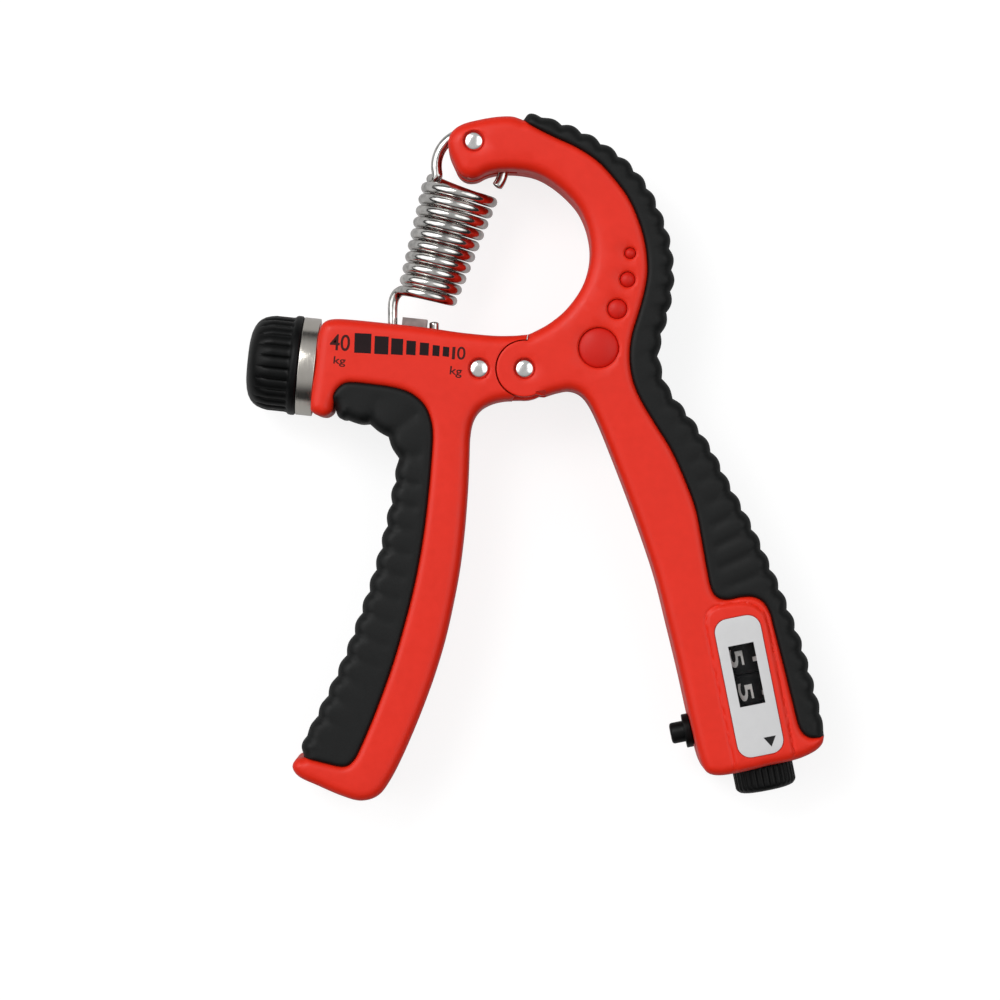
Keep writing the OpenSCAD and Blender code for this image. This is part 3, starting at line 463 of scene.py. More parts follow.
def rounded(profile, r=0.3, steps=4):
    """A profile of (x, r) corners, each rounded off a little."""
    p = [np.array(q, float) for q in profile]
    out = [tuple(p[0])]
    for a, b, c in zip(p, p[1:], p[2:]):
        la, lc = np.linalg.norm(a - b), np.linalg.norm(c - b)
        k = min(r, la * 0.45, lc * 0.45)
        s, e = b + (a - b) / la * k, b + (c - b) / lc * k
        for i in range(steps + 1):
            t = i / steps
            out.append(tuple((1 - t) ** 2 * s + 2 * t * (1 - t) * b + t * t * e))
    out.append(tuple(p[-1]))
    return out


def tube(bm, path, radius, sides=14):
    """A round wire with rounded ends along a path; radius holds one value for each point."""
    p = np.asarray(path, float)
    t = np.gradient(p, axis=0)
    t /= np.linalg.norm(t, axis=1)[:, None]
    n = np.array([0, 0, 1.0])
    rings = []
    for i in range(len(p)):
        n = n - t[i] * (n @ t[i])
        n /= np.linalg.norm(n)
        b = np.cross(t[i], n)
        rings.append((p[i], t[i], n.copy(), b, radius[i]))
    rows = []

    def ring(base, share, push):
        at, along, up, side, r = base
        angles = [2 * math.pi * k / sides for k in range(sides)]
        rows.append([at + along * push * r + r * share * (math.cos(a) * up + math.sin(a) * side)
                     for a in angles])

    for share, push in ((0.35, -0.32), (0.75, -0.22), (0.95, -0.08)):
        ring(rings[0], share, push)
    for base in rings:
        ring(base, 1, 0)
    for share, push in ((0.95, 0.08), (0.75, 0.22), (0.35, 0.32)):
        ring(rings[-1], share, push)
    solid_from(bm, rows)


# ---- Materials ----

def node_material(name, base, rough, metal=0.0, vary=0.06, scale=600.0, bump=0.15, bump_scale=2500.0,
                  rough_vary=0.06, stretch=(1, 1, 1), coat=0.0, spec=0.5, sheen=0.0, blotch=90.0,
                  bump_distance=0.00005):
    """A procedural finish: mottled colour, uneven roughness and a fine grain."""
    m = bpy.data.materials.new(name)
    m.use_nodes = True
    nt = m.node_tree
    shader = nt.nodes["Principled BSDF"]
    shader.inputs["Metallic"].default_value = metal
    shader.inputs["Specular IOR Level"].default_value = spec
    shader.inputs["Coat Weight"].default_value = coat
    shader.inputs["Coat Roughness"].default_value = 0.18
    shader.inputs["Sheen Weight"].default_value = sheen

    def add(kind, **values):
        n = nt.nodes.new(kind)
        for k, v in values.items():
            if k in n.inputs:
                n.inputs[k].default_value = v
            else:
                setattr(n, k, v)
        return n

    where = add("ShaderNodeTexCoord")
    spread = add("ShaderNodeMapping")
    spread.inputs["Scale"].default_value = stretch
    nt.links.new(where.outputs["Object"], spread.inputs["Vector"])
    large = add("ShaderNodeTexNoise", Scale=blotch, Detail=3.0)
    fine = add("ShaderNodeTexNoise", Scale=scale, Detail=4.0)
    grain = add("ShaderNodeTexNoise", Scale=bump_scale, Detail=2.0)
    for n in (large, fine, grain):
        nt.links.new(spread.outputs["Vector"], n.inputs["Vector"])
    both = add("ShaderNodeMath", operation="ADD")
    nt.links.new(large.outputs["Fac"], both.inputs[0])
    nt.links.new(fine.outputs["Fac"], both.inputs[1])
    tone = add("ShaderNodeMapRange")
    for k, v in (("From Min", 0.7), ("From Max", 1.3), ("To Min", 0.0), ("To Max", 1.0)):
        tone.inputs[k].default_value = v
    nt.links.new(both.outputs[0], tone.inputs["Value"])
    mix = add("ShaderNodeMix", data_type="RGBA")
    dark = [c * (1 - vary) for c in base]
    light = [min(1, c * (1 + vary)) for c in base]
    mix.inputs[6].default_value = (*dark, 1)
    mix.inputs[7].default_value = (*light, 1)
    nt.links.new(tone.outputs["Result"], mix.inputs["Factor"])
    nt.links.new(mix.outputs[2], shader.inputs["Base Color"])
    gloss = add("ShaderNodeMapRange")
    for k, v in (("From Min", 0.3), ("From Max", 0.7), ("To Min", max(0.02, rough - rough_vary)),
                 ("To Max", min(1, rough + rough_vary))):
        gloss.inputs[k].default_value = v
    nt.links.new(fine.outputs["Fac"], gloss.inputs["Value"])
    nt.links.new(gloss.outputs["Result"], shader.inputs["Roughness"])
    relief = add("ShaderNodeBump", Strength=bump, Distance=bump_distance)
    nt.links.new(grain.outputs["Fac"], relief.inputs["Height"])
    nt.links.new(relief.outputs["Normal"], shader.inputs["Normal"])
    return m


RED = node_material("red_shell", (0.76, 0.021, 0.006), 0.42, vary=0.03, bump=0.22, bump_scale=3500, spec=0.3)
# The dots' red is darker than the shell's red. This is painted shade of the domes' sloping sides. The dots are
# also glossier.
SHADED_DOT_RED = node_material("red_dots_painted_shade", (0.60, 0.010, 0.004), 0.44, vary=0.03, bump=0.05, spec=0.25)
RUBBER = node_material("black_rubber", (0.0048, 0.0053, 0.0053), 0.52, vary=0.16, scale=900, bump=0.45,
                       bump_scale=4200, spec=0.22)
CHROME = node_material("bright_steel", (0.62, 0.61, 0.59), 0.12, metal=1, vary=0.34, bump=0.75,
                       bump_scale=620, rough_vary=0.06, scale=700, blotch=260)
RIVET = node_material("bright_rivet", (0.88, 0.87, 0.86), 0.16, metal=1, vary=0.12, bump=0.9,
                      bump_scale=650, rough_vary=0.06, scale=500)
COLLAR = node_material("turned_collar", (0.62, 0.59, 0.54), 0.22, metal=1, vary=0.04, bump=0.2,
                       bump_scale=1400, rough_vary=0.05, stretch=(8, 0.6, 0.6))
HOOK_STEEL = node_material("hook_steel", (0.30, 0.25, 0.24), 0.36, metal=1, vary=0.14, bump=0.3)
TURNED = node_material("turned_steel", (0.40, 0.38, 0.34), 0.24, metal=1, vary=0.04, bump=0.22,
                       bump_scale=1400, rough_vary=0.05, stretch=(8, 0.6, 0.6))
ZINC = node_material("zinc_steel", (0.40, 0.40, 0.40), 0.34, metal=1, vary=0.08, bump=0.2)
BRASS = node_material("bush_brass", (0.62, 0.43, 0.18), 0.32, metal=1, vary=0.06, bump=0.2)
BLACK = node_material("black_plastic", (0.0028, 0.003, 0.0031), 0.40, vary=0.12, bump=0.3,
                      bump_scale=3800, spec=0.14)
WHEEL = node_material("wheel_plastic", (0.004, 0.004, 0.0045), 0.5, vary=0.1, bump=0.2, spec=0.2)
PALE = node_material("inner_plastic", (0.62, 0.62, 0.59), 0.5, vary=0.04, bump=0.2)
LABEL = node_material("label_white", (0.63, 0.63, 0.635), 0.42, vary=0.02, bump=0.1, spec=0.3)
PRINT = node_material("black_print", (0.006, 0.006, 0.0065), 0.5, vary=0.15, bump=0.1, spec=0.25)
SCALE_PRINT = node_material("scale_print", (0.012, 0.004, 0.005), 0.5, vary=0.2, bump=0.1, spec=0.15)
NUMBER_PRINT = node_material("number_print", (0.05, 0.008, 0.007), 0.5, vary=0.2, bump=0.1, spec=0.15)
DIGIT = node_material("digit_print", (0.80, 0.80, 0.78), 0.5, vary=0.04, bump=0.1)


def glass_material():
    m = node_material("window_glass", (0.02, 0.022, 0.024), 0.08, vary=0.01, bump=0.03, rough_vary=0.03,
                      spec=0.3)
    shader = m.node_tree.nodes["Principled BSDF"]
    shader.inputs["Alpha"].default_value = 0.1
    return m


GLASS = glass_material()

CAD_LOOKS = {
    "lead_screw": TURNED, "hook_block": HOOK_STEEL, "counter_axle": TURNED, "reset_shaft": TURNED,
    "tip_roller": TURNED, "right_shell_screws": ZINC, "left_shell_screws": ZINC,
    "screw_clip": ZINC, "tip_washers": ZINC, "reset_collar": ZINC, "drive_pawl": ZINC,
    "pivot_bush": BRASS, "screw_bush": BRASS,
    "end_bush": BRASS, "carriage_nut": BRASS, "counter_frame": PALE, "carry_pinion": PALE,
    "units_wheel": WHEEL, "tens_wheel": WHEEL, "window_lens": GLASS,
}
for cad_name, look in CAD_LOOKS.items():
    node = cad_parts[cad_name]
    node.data.materials.clear()
    node.data.materials.append(look)


def dress(obj, body, slot, *nodes):
    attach(obj, body)
    if nodes:
        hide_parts(*nodes)
    return obj


# ---- Arms ----

STEP = 0.55


def fine(knots, step=STEP):
    return even(spline(knots), step)


left_red, left_inner = fine(LEFT_RED), fine(LEFT_INNER)
left_pad = fine(LEFT_PAD)[::-1]
right_hoop, right_in = fine(RIGHT_HOOP), fine(RIGHT_IN)
right_pad = fine(RIGHT_PAD)[::-1]


def anticlockwise(loop):
    area = 0.5 * np.sum(loop[:, 0] * np.roll(loop[:, 1], -1) - np.roll(loop[:, 0], -1) * loop[:, 1])
    return loop if area > 0 else loop[::-1]


seat = arc((0, 0), SEAT_R, 87, 250, 34)
left_start = int(np.argmax(left_inner[:, 0] < -2.6))
left_loop = anticlockwise(np.concatenate([
    left_red, left_red[-1:] + [0.3, 0.0], seat, left_inner[left_start:-1], left_pad[:-1]]))
lug = arc((0, 0), LUG_R, 84, 298, 44)
right_loop = anticlockwise(np.concatenate([right_hoop, lug[:-1], right_in[:-1], right_pad[:-1]]))

boss_loop = COUNTER.out(even(spline([
    (34, -6.6), (20, -6.75), (4, -6.8), (-0.6, -6.6), (-2.7, -5.2), (-3.3, -2), (-2.7, 3),
    (-1.0, 5.6), (2, 6.9), (12, 7.0), (24, 7.1), (34, 7.1)]), 0.6))


def rounded_rectangle(x0, x1, w, r, n=8):
    pts = []
    for cx, cy, a in ((x1 - r, w / 2 - r, 0), (x0 + r, w / 2 - r, 90), (x0 + r, r - w / 2, 180),
                      (x1 - r, r - w / 2, 270)):
        pts.append(arc((cx, cy), r, a, a + 90, n))
    ring = np.concatenate(pts)
    return even(np.concatenate([ring, ring[:1]]), 0.5)[:-1]


label_seat = COUNTER.out(rounded_rectangle(-0.15, 31.65, 10.7, 3.1))
RIVETS = {"left": [LEFT_RIVET], "right": [(0, 0), TIP]}


def near_points(centre, radii, n=44):
    return [arc(centre, r, 0, 360, n)[:-1] for r in radii]


def face_height(red_lines, pad_line, rivets, dots, label):
    """The height of a red face over the middle plane, at any points."""
    def height(p):
        z = np.full(len(p), HALF)
        drop = np.zeros(len(p))
        for line, width, depth in red_lines:
            d, _ = distance(p, line)
            drop = np.maximum(drop, fall(d, width, depth))
        d, _ = distance(p, pad_line)
        drop = (drop ** 3 + fall(d, PAD_W, PAD_H) ** 3) ** (1 / 3)
        z -= drop
        for c in rivets:
            r = np.linalg.norm(p - np.array(c), axis=1)
            rim = z - 0.18 * (1 - smooth((r - RECESS_R) / 0.3))
            z = np.where(r < RECESS_R, HALF - RECESS_DEPTH, rim)
        for c, share in dots:
            r = np.linalg.norm(p - np.array(c), axis=1)
            outer = DOT_D * share / 2
            rim = z - 0.3 * (1 - smooth((r - outer) / 0.45))
            z = np.where(r < outer, HALF - DOT_H - 0.3, rim)
        if label:
            d, _ = distance(p, boss_loop)
            within = inside(p, boss_loop)
            z = z + np.where(within, BOSS_H * smooth(d / 0.9), -0.22 * (1 - smooth(d / 0.7)))
            in_label = inside(p, label_seat)
            z = np.where(in_label, LABEL_FOOT, z)
        return z
    return height


def circle_marks(rivets, dots):
    marks = []
    for c in rivets:
        marks += near_points(c, [RECESS_R + a for a in (-0.5, -0.02, 0.02, 0.15, 0.35)])
    for c, share in dots:
        outer = DOT_D * share / 2
        marks += near_points(c, [outer + a for a in (-0.5, -0.02, 0.02, 0.12, 0.25, 0.45)])
    return marks


def shifted(loop, amount):
    full = side_of(np.concatenate([loop[-1:], loop, loop[:1]]))[1:-1]
    return loop + full * amount


def label_marks():
    marks = [shifted(label_seat, a) for a in (0.03, -0.03, -0.3, 0.6)]
    line_side = side_of(boss_loop)
    marks += [boss_loop + line_side * a for a in (0.0, 0.2, 0.45, 0.7, 0.95, -0.2, -0.45, -0.7, 1.3, -1.0)]
    return marks


def add_tongue(obj, mirror):
    """The left arm's round tongue, between the right arm's lugs, round the pivot's bush."""
    bm = bmesh.new()
    ring = np.concatenate([arc((0, 0), KNUCKLE_R, -96, 80, 40),
                           [(-3.0, 6.9), (-9, 6.4), (-9, -6.6), (-3, -6.9)]])
    plate(bm, ring, lambda p: np.full(len(p), TONGUE), 0, offsets=(0.5,), mirror=mirror, parting=False)
    piece = finish_mesh(bm, "tongue", RED)
    cut(piece, [rod_cutter(PLAIN, BUSH_R, -HALF, HALF, along="z")])
    bm = bmesh.new()
    bm.from_mesh(obj.data)
    bm.from_mesh(piece.data)
    bm.to_mesh(obj.data)
    bm.free()
    bpy.data.objects.remove(piece)


LEFT_EDGES = [(left_red, EDGE_W, 2.5), (left_inner[left_start:], EDGE_W, 2.5), (seat, 0.25, 0.2)]
LEFT_HEIGHT = face_height(LEFT_EDGES, left_pad, RIVETS["left"], [], False)
RIGHT_RED = [(right_hoop, 2.9, 2.8), (right_in, EDGE_W, 2.5), (lug, 0.3, 0.25)]


def left_cutters(mirror):
    low, high = (-0.01, 4.6) if mirror > 0 else (-4.6, 0.01)
    nut_low, nut_high = (-0.02, 5.8) if mirror > 0 else (-5.8, 0.02)
    return [
        box_cutter(SCREW, (-2, -13, -14), (3.92, 13, 14)),
        rod_cutter(SCREW, 5.0, 1.9, 11.7),
        box_cutter(SCREW, (10.7, -6.1, nut_low), (36.8, 6.1, nut_high)),
        box_cutter(SCREW, (8.35, 2.0, low), (39.15, 20, high)),
    ]


def window_cutter(length, width, low, high):
    """A box of these half sizes round the middle of the counter's window."""
    return box_cutter(COUNTER, (WINDOW_AT - length, -width, low), (WINDOW_AT + length, width, high))


def right_cutters(mirror):
    top = 5.2
    low, high = (-0.01, top) if mirror > 0 else (-top, 0.01)
    slot_low, slot_high = (-0.02, 1.9) if mirror > 0 else (-1.9, 0.02)
    cutters = [rod_cutter(PLAIN, 7.7, low, high, along="z", n=64)]
    for a in (-14, 3, 20):
        c, s = math.cos(math.radians(a)), math.sin(math.radians(a))
        at = (TIP[0] + c * HOOK_AWAY[0] - s * HOOK_AWAY[1], TIP[1] + s * HOOK_AWAY[0] + c * HOOK_AWAY[1])
        cutters.append(rod_cutter(PLAIN, 9.1 + a * 0.001, slot_low, slot_high + abs(a) * 0.0005,
                                  centre=at, along="z", n=64))
    bay_low, bay_high = (-0.03, 10.0) if mirror > 0 else (-10.0, 0.03)
    cutters += [
        box_cutter(COUNTER, (4, -11.2, bay_low), (29.5, 8.9, bay_high)),
        rod_cutter(COUNTER, 3.3, -20, -10.5, centre=PIN_AT, along="y"),
        rod_cutter(COUNTER, 7.3, 32.1, 41),
    ]
    if mirror > 0:
        cutters += [window_cutter(WINDOW_L, WINDOW_W, 9, 14), window_cutter(LENS_L, LENS_W, 9.5, 11.93)]
    return cutters


def screw_pits(places):
    return [rod_cutter(PLAIN, 2.0, -14, -HALF + 2.5, centre=p, along="z", n=32) for p in places]


LEFT_SCREWS = [(-21.7, -58), (-31.5, -86)]
RIGHT_SCREWS = [(21.5, 31), (25.5, -18), (37, -50)]


def arm_shell(name, side, mirror):
    bm = bmesh.new()
    front = mirror > 0
    if side == "left":
        marks = circle_marks(RIVETS["left"], [])
        plate(bm, left_loop, LEFT_HEIGHT, 0, marks, walls=(8.5, 6, 3), mirror=mirror)
        cutters = left_cutters(mirror)
        holes = [(LEFT_RIVET, 1.6)]
        pits = [] if front else screw_pits(LEFT_SCREWS)
    else:
        height = face_height(RIGHT_RED, right_pad, RIVETS["right"], DOTS, front)
        marks = circle_marks(RIVETS["right"], DOTS) + (label_marks() if front else [])
        plate(bm, right_loop, height, 0, marks, walls=(8.5, 6, 3), mirror=mirror)
        cutters = right_cutters(mirror)
        holes = [((0, 0), 1.6), (TIP, 1.2)]
        pits = [] if front else screw_pits(RIGHT_SCREWS)
    obj = finish_mesh(bm, name, RED)
    holes = [rod_cutter(PLAIN, r, -HALF - 1, HALF + 1, centre=at, along="z") for at, r in holes]
    cut(obj, cutters + pits + holes)
    if side == "left":
        add_tongue(obj, mirror)
    return obj


for arm in ("left", "right"):
    for face, mirror in (("front", 1), ("back", -1)):
        piece = arm_shell(f"{arm}_red_{face}", arm, mirror)
        dress(piece, f"{arm}_arm", "red_shell" if mirror > 0 else "red_back", f"{arm}_shell_{face}")


# ---- Dots on the hoop ----


def dots_piece(mirror):
    """The four glossy domes that stand in the hoop's round recesses."""
    bm = bmesh.new()
    for c, share in DOTS:
        r = DOT_D * share / 2 - 0.02
        foot = HALF - DOT_H - 0.32
        top = foot + 0.5 + 0.62 * r ** 0.75
        profile = [(foot, 0.001), (foot, r)]
        for a in range(0, 91, 9):
            profile.append((foot + 0.12 + (min(top, HALF + 0.12) - foot - 0.12) * math.sin(math.radians(a)),
                            max(0.001, r * math.cos(math.radians(a)))))
        solid_from(bm, turned_points(PLAIN, [(mirror * x, q) for x, q in profile], c, 48, "z"))
    bmesh.ops.remove_doubles(bm, verts=bm.verts, dist=1e-7)
    return finish_mesh(bm, "hoop_dots_" + ("front" if mirror > 0 else "back"), SHADED_DOT_RED, 50)


dress(dots_piece(1), "right_arm", "red_shell")
dress(dots_piece(-1), "right_arm", "red_back")

# ---- Rubber grips ----

def grip(name, pad, outer_knots, bands):
    """A rubber grip: scalloped outside, with the scallops running on over its faces."""
    outer, plain, phase = grooved(outer_knots)
    start = pad[0]
    if np.linalg.norm(outer[0] - pad[-1]) > 0.5:
        outer, plain, phase = outer[::-1], plain[::-1], phase[::-1]
    loop = anticlockwise(loop_of(pad, outer))

    def height(p):
        d_out, place_on = distance(p, outer)
        d_pad, _ = distance(p, pad)
        z = HALF - (fall(d_out, RUBBER_W, RUBBER_H) ** 3 + fall(d_pad, LIP_W, LIP_H) ** 3) ** (1 / 3)
        _, place_plain = distance(p, plain)
        turn = np.interp(place_plain, np.arange(len(phase)), phase)
        ends = np.minimum(np.linalg.norm(p - plain[0], axis=1), np.linalg.norm(p - plain[-1], axis=1))
        valley = (1 - np.abs(np.sin(np.pi * turn))) ** 1.4 * np.clip(ends / 9, 0, 1)
        reach = 0.55 * np.exp(-((d_out / 3.2) ** 2))
        for centre, radius, depth in bands:
            near = np.exp(-((np.linalg.norm(p - np.array(centre), axis=1) / radius) ** 4))
            reach = np.maximum(reach, depth * near)
        return z - reach * valley * smooth((d_pad - 1.2) / 2.0)

    bm = bmesh.new()
    plate(bm, loop, height, None, offsets=(0.05, 0.18, 0.42, 0.8, 1.3, 1.9, 2.6), grid=0.85, clear=2.8,
          walls=(0.9, 0.55, 0.0, -0.55, -0.9))
    return finish_mesh(bm, name, RUBBER, 50)


dress(grip("left_rubber_grip", left_pad[::-1], LEFT_OUTER[::-1],
           [((-25.5, -26), 11, 0.32), ((-28, -12), 8, 0.30), ((-30, -45), 10, 0.22), ((-33, -60), 10, 0.15)]),
      "left_arm", "black_rubber", "left_grip")
dress(grip("right_rubber_grip", right_pad[::-1], RIGHT_OUTER, [((45.5, -40), 13, 0.45), ((40, -24), 8, 0.25)]),
      "right_arm", "black_rubber", "right_grip")

# ---- Rivets ----


def rivet_profile(shank_r, r=2.27, h=0.9):
    seat_z = HALF - RECESS_DEPTH
    top = []
    for a in range(0, 91, 10):
        top.append((seat_z + h * math.sin(math.radians(a)), r * math.cos(math.radians(a)) ** 0.8))
    top[-1] = (seat_z + h, 0.001)
    half_profile = [(0, shank_r), (seat_z - 0.01, shank_r), (seat_z, r - 0.06)] + top
    mirrored_half = [(-x, rr) for x, rr in half_profile[::-1]]
    return mirrored_half[:-1] + half_profile


def rivet(name, at, shank_r, body, node):
    obj = lathe(name, RIVET, PLAIN, rivet_profile(shank_r), centre=at, along="z", n=48)
    dress(obj, body, "bright_steel", node)


rivet("pivot_rivet_bright", (0, 0), 1.6, "right_arm", "pivot_rivet")
rivet("tip_rivet_bright", TIP, 1.2, "right_arm", "tip_rivet")
rivet("left_rivet_bright", LEFT_RIVET, 1.6, "left_arm", "left_rivet")

# ---- Spring ----

COIL_TOP_D, COIL_BOTTOM_D, COIL_L, COIL_TURNS = 17.6, 13.5, 28.4, 9
LOW_HOOK_R = 4.7
hook_h = 3.0 + 0.45 + LOW_HOOK_R + WIRE_R
hook_at = SCREW.out([25.0, hook_h])
loop_at = np.array(TIP) + np.array(HOOK_AWAY)
coil_u = np.array([0.2995, 0.9541])
coil_side = np.array([coil_u[1], -coil_u[0]])
coil_low = np.array([-22.5, 15.4]) + coil_u * WIRE_R
coil_run = COIL_L - WIRE_D
coil_from, coil_to = 150.0, -150.0 - 360 * COIL_TURNS


def lift(p, z=0.0):
    return np.array([p[0], p[1], z])


def coil_point(t):
    a = math.radians(coil_from + (coil_to - coil_from) * t)
    r = (COIL_BOTTOM_D + (COIL_TOP_D - COIL_BOTTOM_D) * t) / 2 - WIRE_R
    p = coil_low + coil_u * coil_run * t + coil_side * r * math.cos(a)
    return np.array([p[0], p[1], r * math.sin(a)])


def bezier(a, b, c, d, n):
    out = []
    for i in range(1, n):
        t = i / n
        s = 1 - t
        out.append(s ** 3 * a + 3 * s * s * t * b + 3 * s * t * t * c + t ** 3 * d)
    return out


leg_top = hook_at + np.array([-LOW_HOOK_R, 6.4])
low_end = hook_at + np.array([LOW_HOOK_R, 3.1])
lead_in = np.array([coil_side[0] * 0.5, coil_side[1] * 0.5, -math.cos(math.radians(coil_from))])
lead_out = np.array([-coil_side[0] * 0.5, -coil_side[1] * 0.5, -math.cos(math.radians(coil_to))])
loop_start = arc(loop_at, TOP_HOOK_R, 192, 192, 1)[0]
wire = [lift(low_end), lift(low_end - np.array([0, 1.5]))]
wire += [lift(p) for p in arc(hook_at, LOW_HOOK_R, 0, -180, 24)]
wire += [lift(hook_at + np.array([-LOW_HOOK_R, 3.2])), lift(leg_top)]
wire += bezier(lift(leg_top), lift(leg_top + np.array([0, 3.4])), coil_point(0) - 2.8 * lead_in, coil_point(0), 12)
coil_n = 40 * COIL_TURNS
wire += [coil_point(i / coil_n) for i in range(coil_n + 1)]
wire += bezier(coil_point(1), coil_point(1) + 2.8 * lead_out, lift(loop_start - np.array([-0.4, 2.2])),
               lift(loop_start), 12)
wire += [lift(p) for p in arc(loop_at, TOP_HOOK_R, 192, -36, 40)]

bm = bmesh.new()
wire = even(np.array(wire), 0.42)
tube(bm, wire, 1.08 + 0.14 * smooth((wire[:, 1] - 12) / 8), 16)
spring = finish_mesh(bm, "bright_spring", CHROME, 60)
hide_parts("spring")
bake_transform(spring)

# ---- The counter's two return springs ----


def return_spring(name, node, still, moved, r, turns, wire_radius, point):
    """A coil from its still end to the end that the body presses; point places (run, side, up)."""
    n = 28 * turns
    path = []
    for i in range(n + 1):
        a = math.pi / 2 + 2 * math.pi * turns * i / n
        path.append(point(still + (moved - still) * i / n, r * math.cos(a), r * math.sin(a)))
    bm = bmesh.new()
    tube(bm, COUNTER.out(np.array(path)), np.full(n + 1, wire_radius), 10)
    piece = finish_mesh(bm, name, ZINC, 60)
    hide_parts(node)
    start, end = place(COUNTER.out(np.array([point(still, 0, 0), point(moved, 0, 0)])))
    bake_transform(piece)


return_spring("pin_return_spring", "pin_spring", -5.97, -9.87, 2.2, 4, 0.18,
              lambda run, side, up: (PIN_AT[0] + side, run, up))
return_spring("reset_return_spring", "reset_spring", 22.65, 27.05, 2.95, 4, 0.28,
              lambda run, side, up: (run, side, up))

# ---- Knob, collar ----

KNOB_L, KNOB_RIBS = 11.7, 24


def knob_ribs(x, a):
    along = smooth((-x - 1.5) / 0.8) * smooth((KNOB_L * 0.80 + x) / 2.2)
    wave = abs(math.cos(KNOB_RIBS * a / 2)) ** 0.5
    return -0.55 * along * (1 - wave) + 0.06 * along


knob_profile = [(-KNOB_L + x, r) for x, r in (
    (0, 0.001), (0, 3.0), (0.1, 5.2), (0.35, 6.6), (0.8, 7.9), (1.4, 8.9), (2.1, 9.6), (3.0, 10.15), (4.2, 10.5))]
knob_profile += [(x, 10.7) for x in np.linspace(-6.4, -2.4, 9)]
knob_profile += [(-2.1, 10.75), (-1.85, 10.9), (-1.6, 11.15), (-1.3, 11.27), (-0.9, 11.3), (-0.35, 11.28),
                 (-0.12, 11.15), (0, 10.9), (0, 3.0), (0, 0.001)]
dress(lathe("side_knob", BLACK, SCREW, knob_profile, n=KNOB_RIBS * 14, ribs=knob_ribs, sharp=50),
      "adjuster", "black_plastic", "knob")
collar_profile = rounded([(0.15, 5.0), (0.15, 11.1), (3.85, 11.1), (3.85, 5.0)], 0.16)


def lathe_ring(name, material, line, profile, n=96, along="x", centre=(0, 0)):
    """A turned ring: its profile is a closed line that keeps off the axis."""
    bm = bmesh.new()
    rings = turned_points(line, profile, centre, n, along)
    rows = [[bm.verts.new(v) for v in place(ring)] for ring in rings]
    for a, b in zip(rows, rows[1:] + rows[:1]):
        for i in range(n):
            bm.faces.new((a[i], a[(i + 1) % n], b[(i + 1) % n], b[i]))
    return finish_mesh(bm, name, material, 40)


dress(lathe_ring("side_collar", COLLAR, SCREW, collar_profile), "left_arm", "turned_steel", "knob_collar")

# ---- Push pin and reset knob ----

sleeve_profile = rounded([(-15.9, 2.46), (-15.9, 3.85), (-14.36, 3.85), (-14.36, 3.25), (-11.2, 3.25),
                          (-11.2, 2.46)], 0.2)
dress(lathe_ring("pin_sleeve_black", BLACK, COUNTER, sleeve_profile, 48, "y", PIN_AT),
      "right_arm", "black_plastic", "pin_sleeve")
pin_profile = [(-19.0, 0.001), (-19.0, 1.6), (-18.92, 2.05), (-18.7, 2.3), (-18.4, 2.4), (-11.1, 2.4),
               (-11.1, 0.001)]
pin_head = lathe("push_pin_black", BLACK, COUNTER, pin_profile, centre=PIN_AT, n=40, along="y")
bm = bmesh.new()
bm.from_mesh(pin_head.data)
solid_from(bm, box_points(COUNTER, (20.2, -11.15, -3.2), (26.7, -10.15, 5.6)))
solid_from(bm, turned_points(COUNTER, [(-10.2, 1.2), (-7.0, 1.2)], PIN_AT, 24, "y"))
bm.to_mesh(pin_head.data)
bm.free()
dress(pin_head, "push_pin", "black_plastic", "counter_pin")


def reset_rib(x, a):
    along = smooth((x - 34.4) / 0.5) * smooth((39.4 - x) / 0.6)
    return 0.32 * along * (abs(math.cos(14 * a)) ** 0.6) - 0.1 * along


reset_profile = [(34.2, 0.001), (34.2, 6.55), (34.45, 6.7), (34.9, 6.7)]
reset_profile += [(x, 6.7) for x in np.linspace(35.3, 38.7, 6)]
reset_profile += [(39.1, 6.65), (39.45, 6.45), (39.75, 6.1), (39.96, 5.5), (40.1, 4.8), (40.1, 0.001)]
dress(lathe("reset_dial_black", BLACK, COUNTER, reset_profile, n=28 * 10, ribs=reset_rib, sharp=50),
      "reset_dial", "black_plastic", "reset_knob")

# ---- Label ----


def label_plate():
    outline = COUNTER.out(rounded_rectangle(0, 31.5, 10.4, 3.0, 10))
    bm = bmesh.new()

    def top(p):
        d, _ = distance(p, outline, True)
        return HALF + BOSS_H - fall(d, 0.25, 0.2)

    plate(bm, anticlockwise(outline), top, LABEL_FOOT, offsets=(0.04, 0.12, 0.25), grid=2.0, clear=0.8)
    obj = finish_mesh(bm, "counter_label_plate", LABEL)
    cut(obj, [window_cutter(WINDOW_L, WINDOW_W, 8, 15)])
    return obj


dress(label_plate(), "right_arm", "label_white", "counter_label")


def flat_piece(name, material, polygons, z):
    """Print in plain polygons, a little sunk into its ground at height z."""
    bm = bmesh.new()
    for poly in polygons:
        base = [(x, y, z - 0.02) for x, y in poly]
        solid_from(bm, [base, [(x, y, z + PRINT_T) for x, y in poly]])
    return finish_mesh(bm, name, material, 30)


arrow = COUNTER.out([(27.7, 3.7), (27.7, 0.9), (30.0, 2.3)])
dress(flat_piece("label_arrow", PRINT, [arrow], HALF + BOSS_H), "right_arm", "black_plastic")

# The scale on the left arm: squares that shrink towards the light end, as (x0, x1, y0, y1) in the
# photograph's pixels.
SQUARES = [(354.6, 371.3, 333.5, 353.6), (374.6, 388.5, 336.4, 354.7), (391.2, 403, 338.7, 355.2),
           (406.3, 415.7, 340.9, 355.4), (419.7, 428.7, 342.9, 355.8), (432.5, 439.4, 345.4, 356.5),
           (442.7, 449.0, 346.9, 357)]


def from_photo(x, y):
    """A place in the photograph's plane, in mm about the pivot."""
    return ((x - 524.5) * 0.225, (369 - y) * 0.225)


